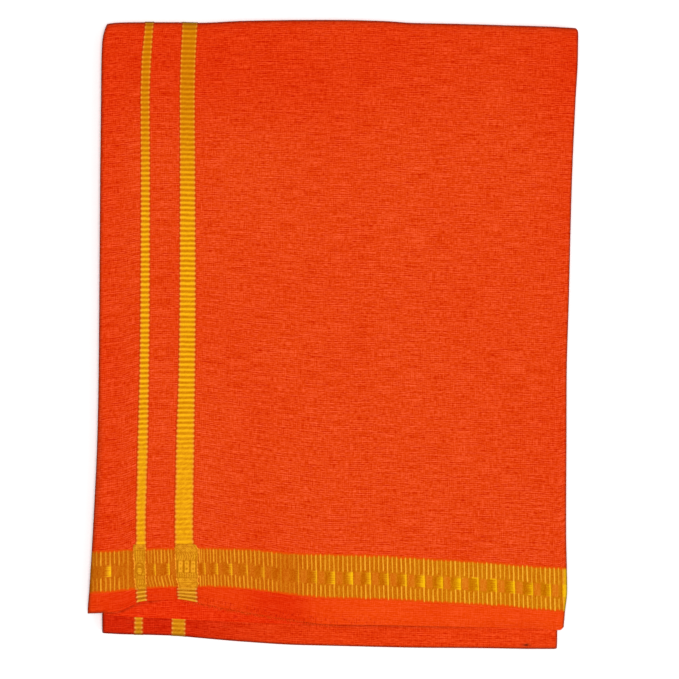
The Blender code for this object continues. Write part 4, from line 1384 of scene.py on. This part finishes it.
def build():
    bright = (0.470, 0.0080, 0.0)
    deep = (0.445, 0.0010, 0.0)
    # Each shell takes painted shade along its named edges and folds.
    front = ply_shell("front_cloth", FRONT_SECTIONS, front_rows(), front_lift,
                      cotton("front_cotton", deep, bright, 0.0,
                             heading=((0.530, 0.0085, 0.0002), (0.610, 0.0300, 0.0006))),
                      front_dye, {"left": 0.9, "right": 0.9, "top": 0.9})
    back = ply_shell("back_cloth", BACK_SECTIONS, under_rows(UNDER_STEPS), under_lift,
                     cotton("back_cotton", deep, bright, 20.0), plain_dye, {}, turned=True, start=0.4)
    tail = ply_shell("tail_cloth", BACK_SECTIONS, tail_rows(), tail_lift,
                     cotton("tail_cotton", (0.350, 0.0002, 0.0), (0.490, 0.0080, 0.0), 40.0, TAIL_STREAKS,
                            PALEST_HIGHLIGHT_BELOW),
                     tail_dye, {"left": 1.0, "right": 0.9, "foot": 1.0})
    second = second_shell(cotton("second_cotton", (0.475, 0.0005, 0.0), (0.505, 0.0030, 0.0), 60.0,
                                 SECOND_STREAKS, PALEST_HIGHLIGHT_BELOW))
    crossing_zari = zari("crossing_zari", ((176, 96, 0), (180, 92, 1)), ((246, 176, 30), (252, 160, 46)),
                         ((150, 74, 1), (230, 150, 14)), BESIDE_BAND, 6.0)
    # Its third pair, the dulled colours, gives painted shade on the band.
    band_zari = zari("band_zari", ((181, 95, 0), (205, 91, 1)), ((255, 198, 12), (255, 184, 58)),
                     ((182, 72, 0), (255, 168, 40)), BESIDE_BAND, 9.0)
    fibre_cotton = cotton("fibre_cotton", (0.540, 0.0240, 0.0010), (0.640, 0.0480, 0.0030), 100.0)
    # A darker copy of the cotton for the plies' edges at the sides: painted shade.
    edge_cotton_shaded = cotton("edge_cotton_shaded", (0.390, 0.0010, 0.0004), (0.470, 0.0060, 0.0012), 80.0)

    on_front = [declare(cross_band(band_zari), "zari_band", "cross_band")]
    on_front += [declare(crossing_patch(crossing, crossing_zari), "zari_band") for crossing in CROSSINGS]
    on_back = []
    on_tail = []
    woven_borders(on_front, on_back, on_tail)
    declare(front, "cloth_front", "front_panel")
    declare(back, "cloth_back", "back_panel")
    declare(tail, "cloth_tail", "tail_panel")
    declare(second, "cloth_second", "second_ply")
    layers = [declare(side_layers(side, edge_cotton_shaded), "cloth_layers", "hidden_layers")
              for side in ("left", "right")]
    on_front.append(declare(loose_fibres(fibre_cotton), "cloth_front"))


# --- the studio, in metres ---
FLOOR_REACH = 3.0
FILL = 0.50
Lamp = namedtuple("Lamp", "name energy angle way")
LAMPS = rows_of(Lamp, (("key", 2.06, 0.35, (0.03, -0.02, 1.0)), ("rake", 0.52, 0.5, (0.9, -0.4, 1.0))))
CAMERA_DISTANCE = 5.0
FRAME_WIDTH = 0.4560    # what the camera takes in at the height of the cloth's face
CLOTH_FACE = 0.0134
CLOTH_MIDDLE = (0.0047, -0.0037)
PAPER = 0.97


def link(name, data):
    placed = bpy.data.objects.new(name, data)
    bpy.context.scene.collection.objects.link(placed)
    return placed


def stage():
    """A pale floor, a soft key from above, even fill, and the camera straight above."""
    mesh = bpy.data.meshes.new("floor")
    level = -0.05 * MM      # clear of the threads that rest on it
    corners = [(x * FLOOR_REACH, y * FLOOR_REACH, level) for x, y in ((-1, -1), (1, -1), (1, 1), (-1, 1))]
    mesh.from_pydata(corners, [], [(0, 1, 2, 3)])
    paper = bpy.data.materials.new("floor_paper")
    paper.use_nodes = True
    shader = paper.node_tree.nodes["Principled BSDF"]
    shader.inputs["Base Color"].default_value = (PAPER, PAPER, PAPER, 1.0)
    shader.inputs["Roughness"].default_value = 0.95
    shader.inputs["Specular IOR Level"].default_value = 0.0
    mesh.materials.append(paper)
    floor = link("floor", mesh)

    world = bpy.data.worlds.new("studio")
    world.use_nodes = True
    background = world.node_tree.nodes["Background"]
    background.inputs["Color"].default_value = (1.0, 1.0, 1.0, 1.0)
    background.inputs["Strength"].default_value = FILL
    bpy.context.scene.world = world

    for lamp in LAMPS:
        sun = bpy.data.lights.new(lamp.name, "SUN")
        sun.energy = lamp.energy
        sun.angle = lamp.angle
        link(lamp.name, sun).rotation_euler = Vector(lamp.way).to_track_quat("Z", "Y").to_euler()

    lens = bpy.data.cameras.new("camera")
    lens.sensor_width = 36.0
    lens.lens = lens.sensor_width * CAMERA_DISTANCE / FRAME_WIDTH
    lens.clip_end = 50.0
    eye = link("camera", lens)
    eye.location = (*CLOTH_MIDDLE, CLOTH_FACE + CAMERA_DISTANCE)
    eye.rotation_euler = (0.0, 0.0, 0.0)
    bpy.context.scene.camera = eye
    bpy.context.scene.view_settings.view_transform = "Standard"


build()
stage()
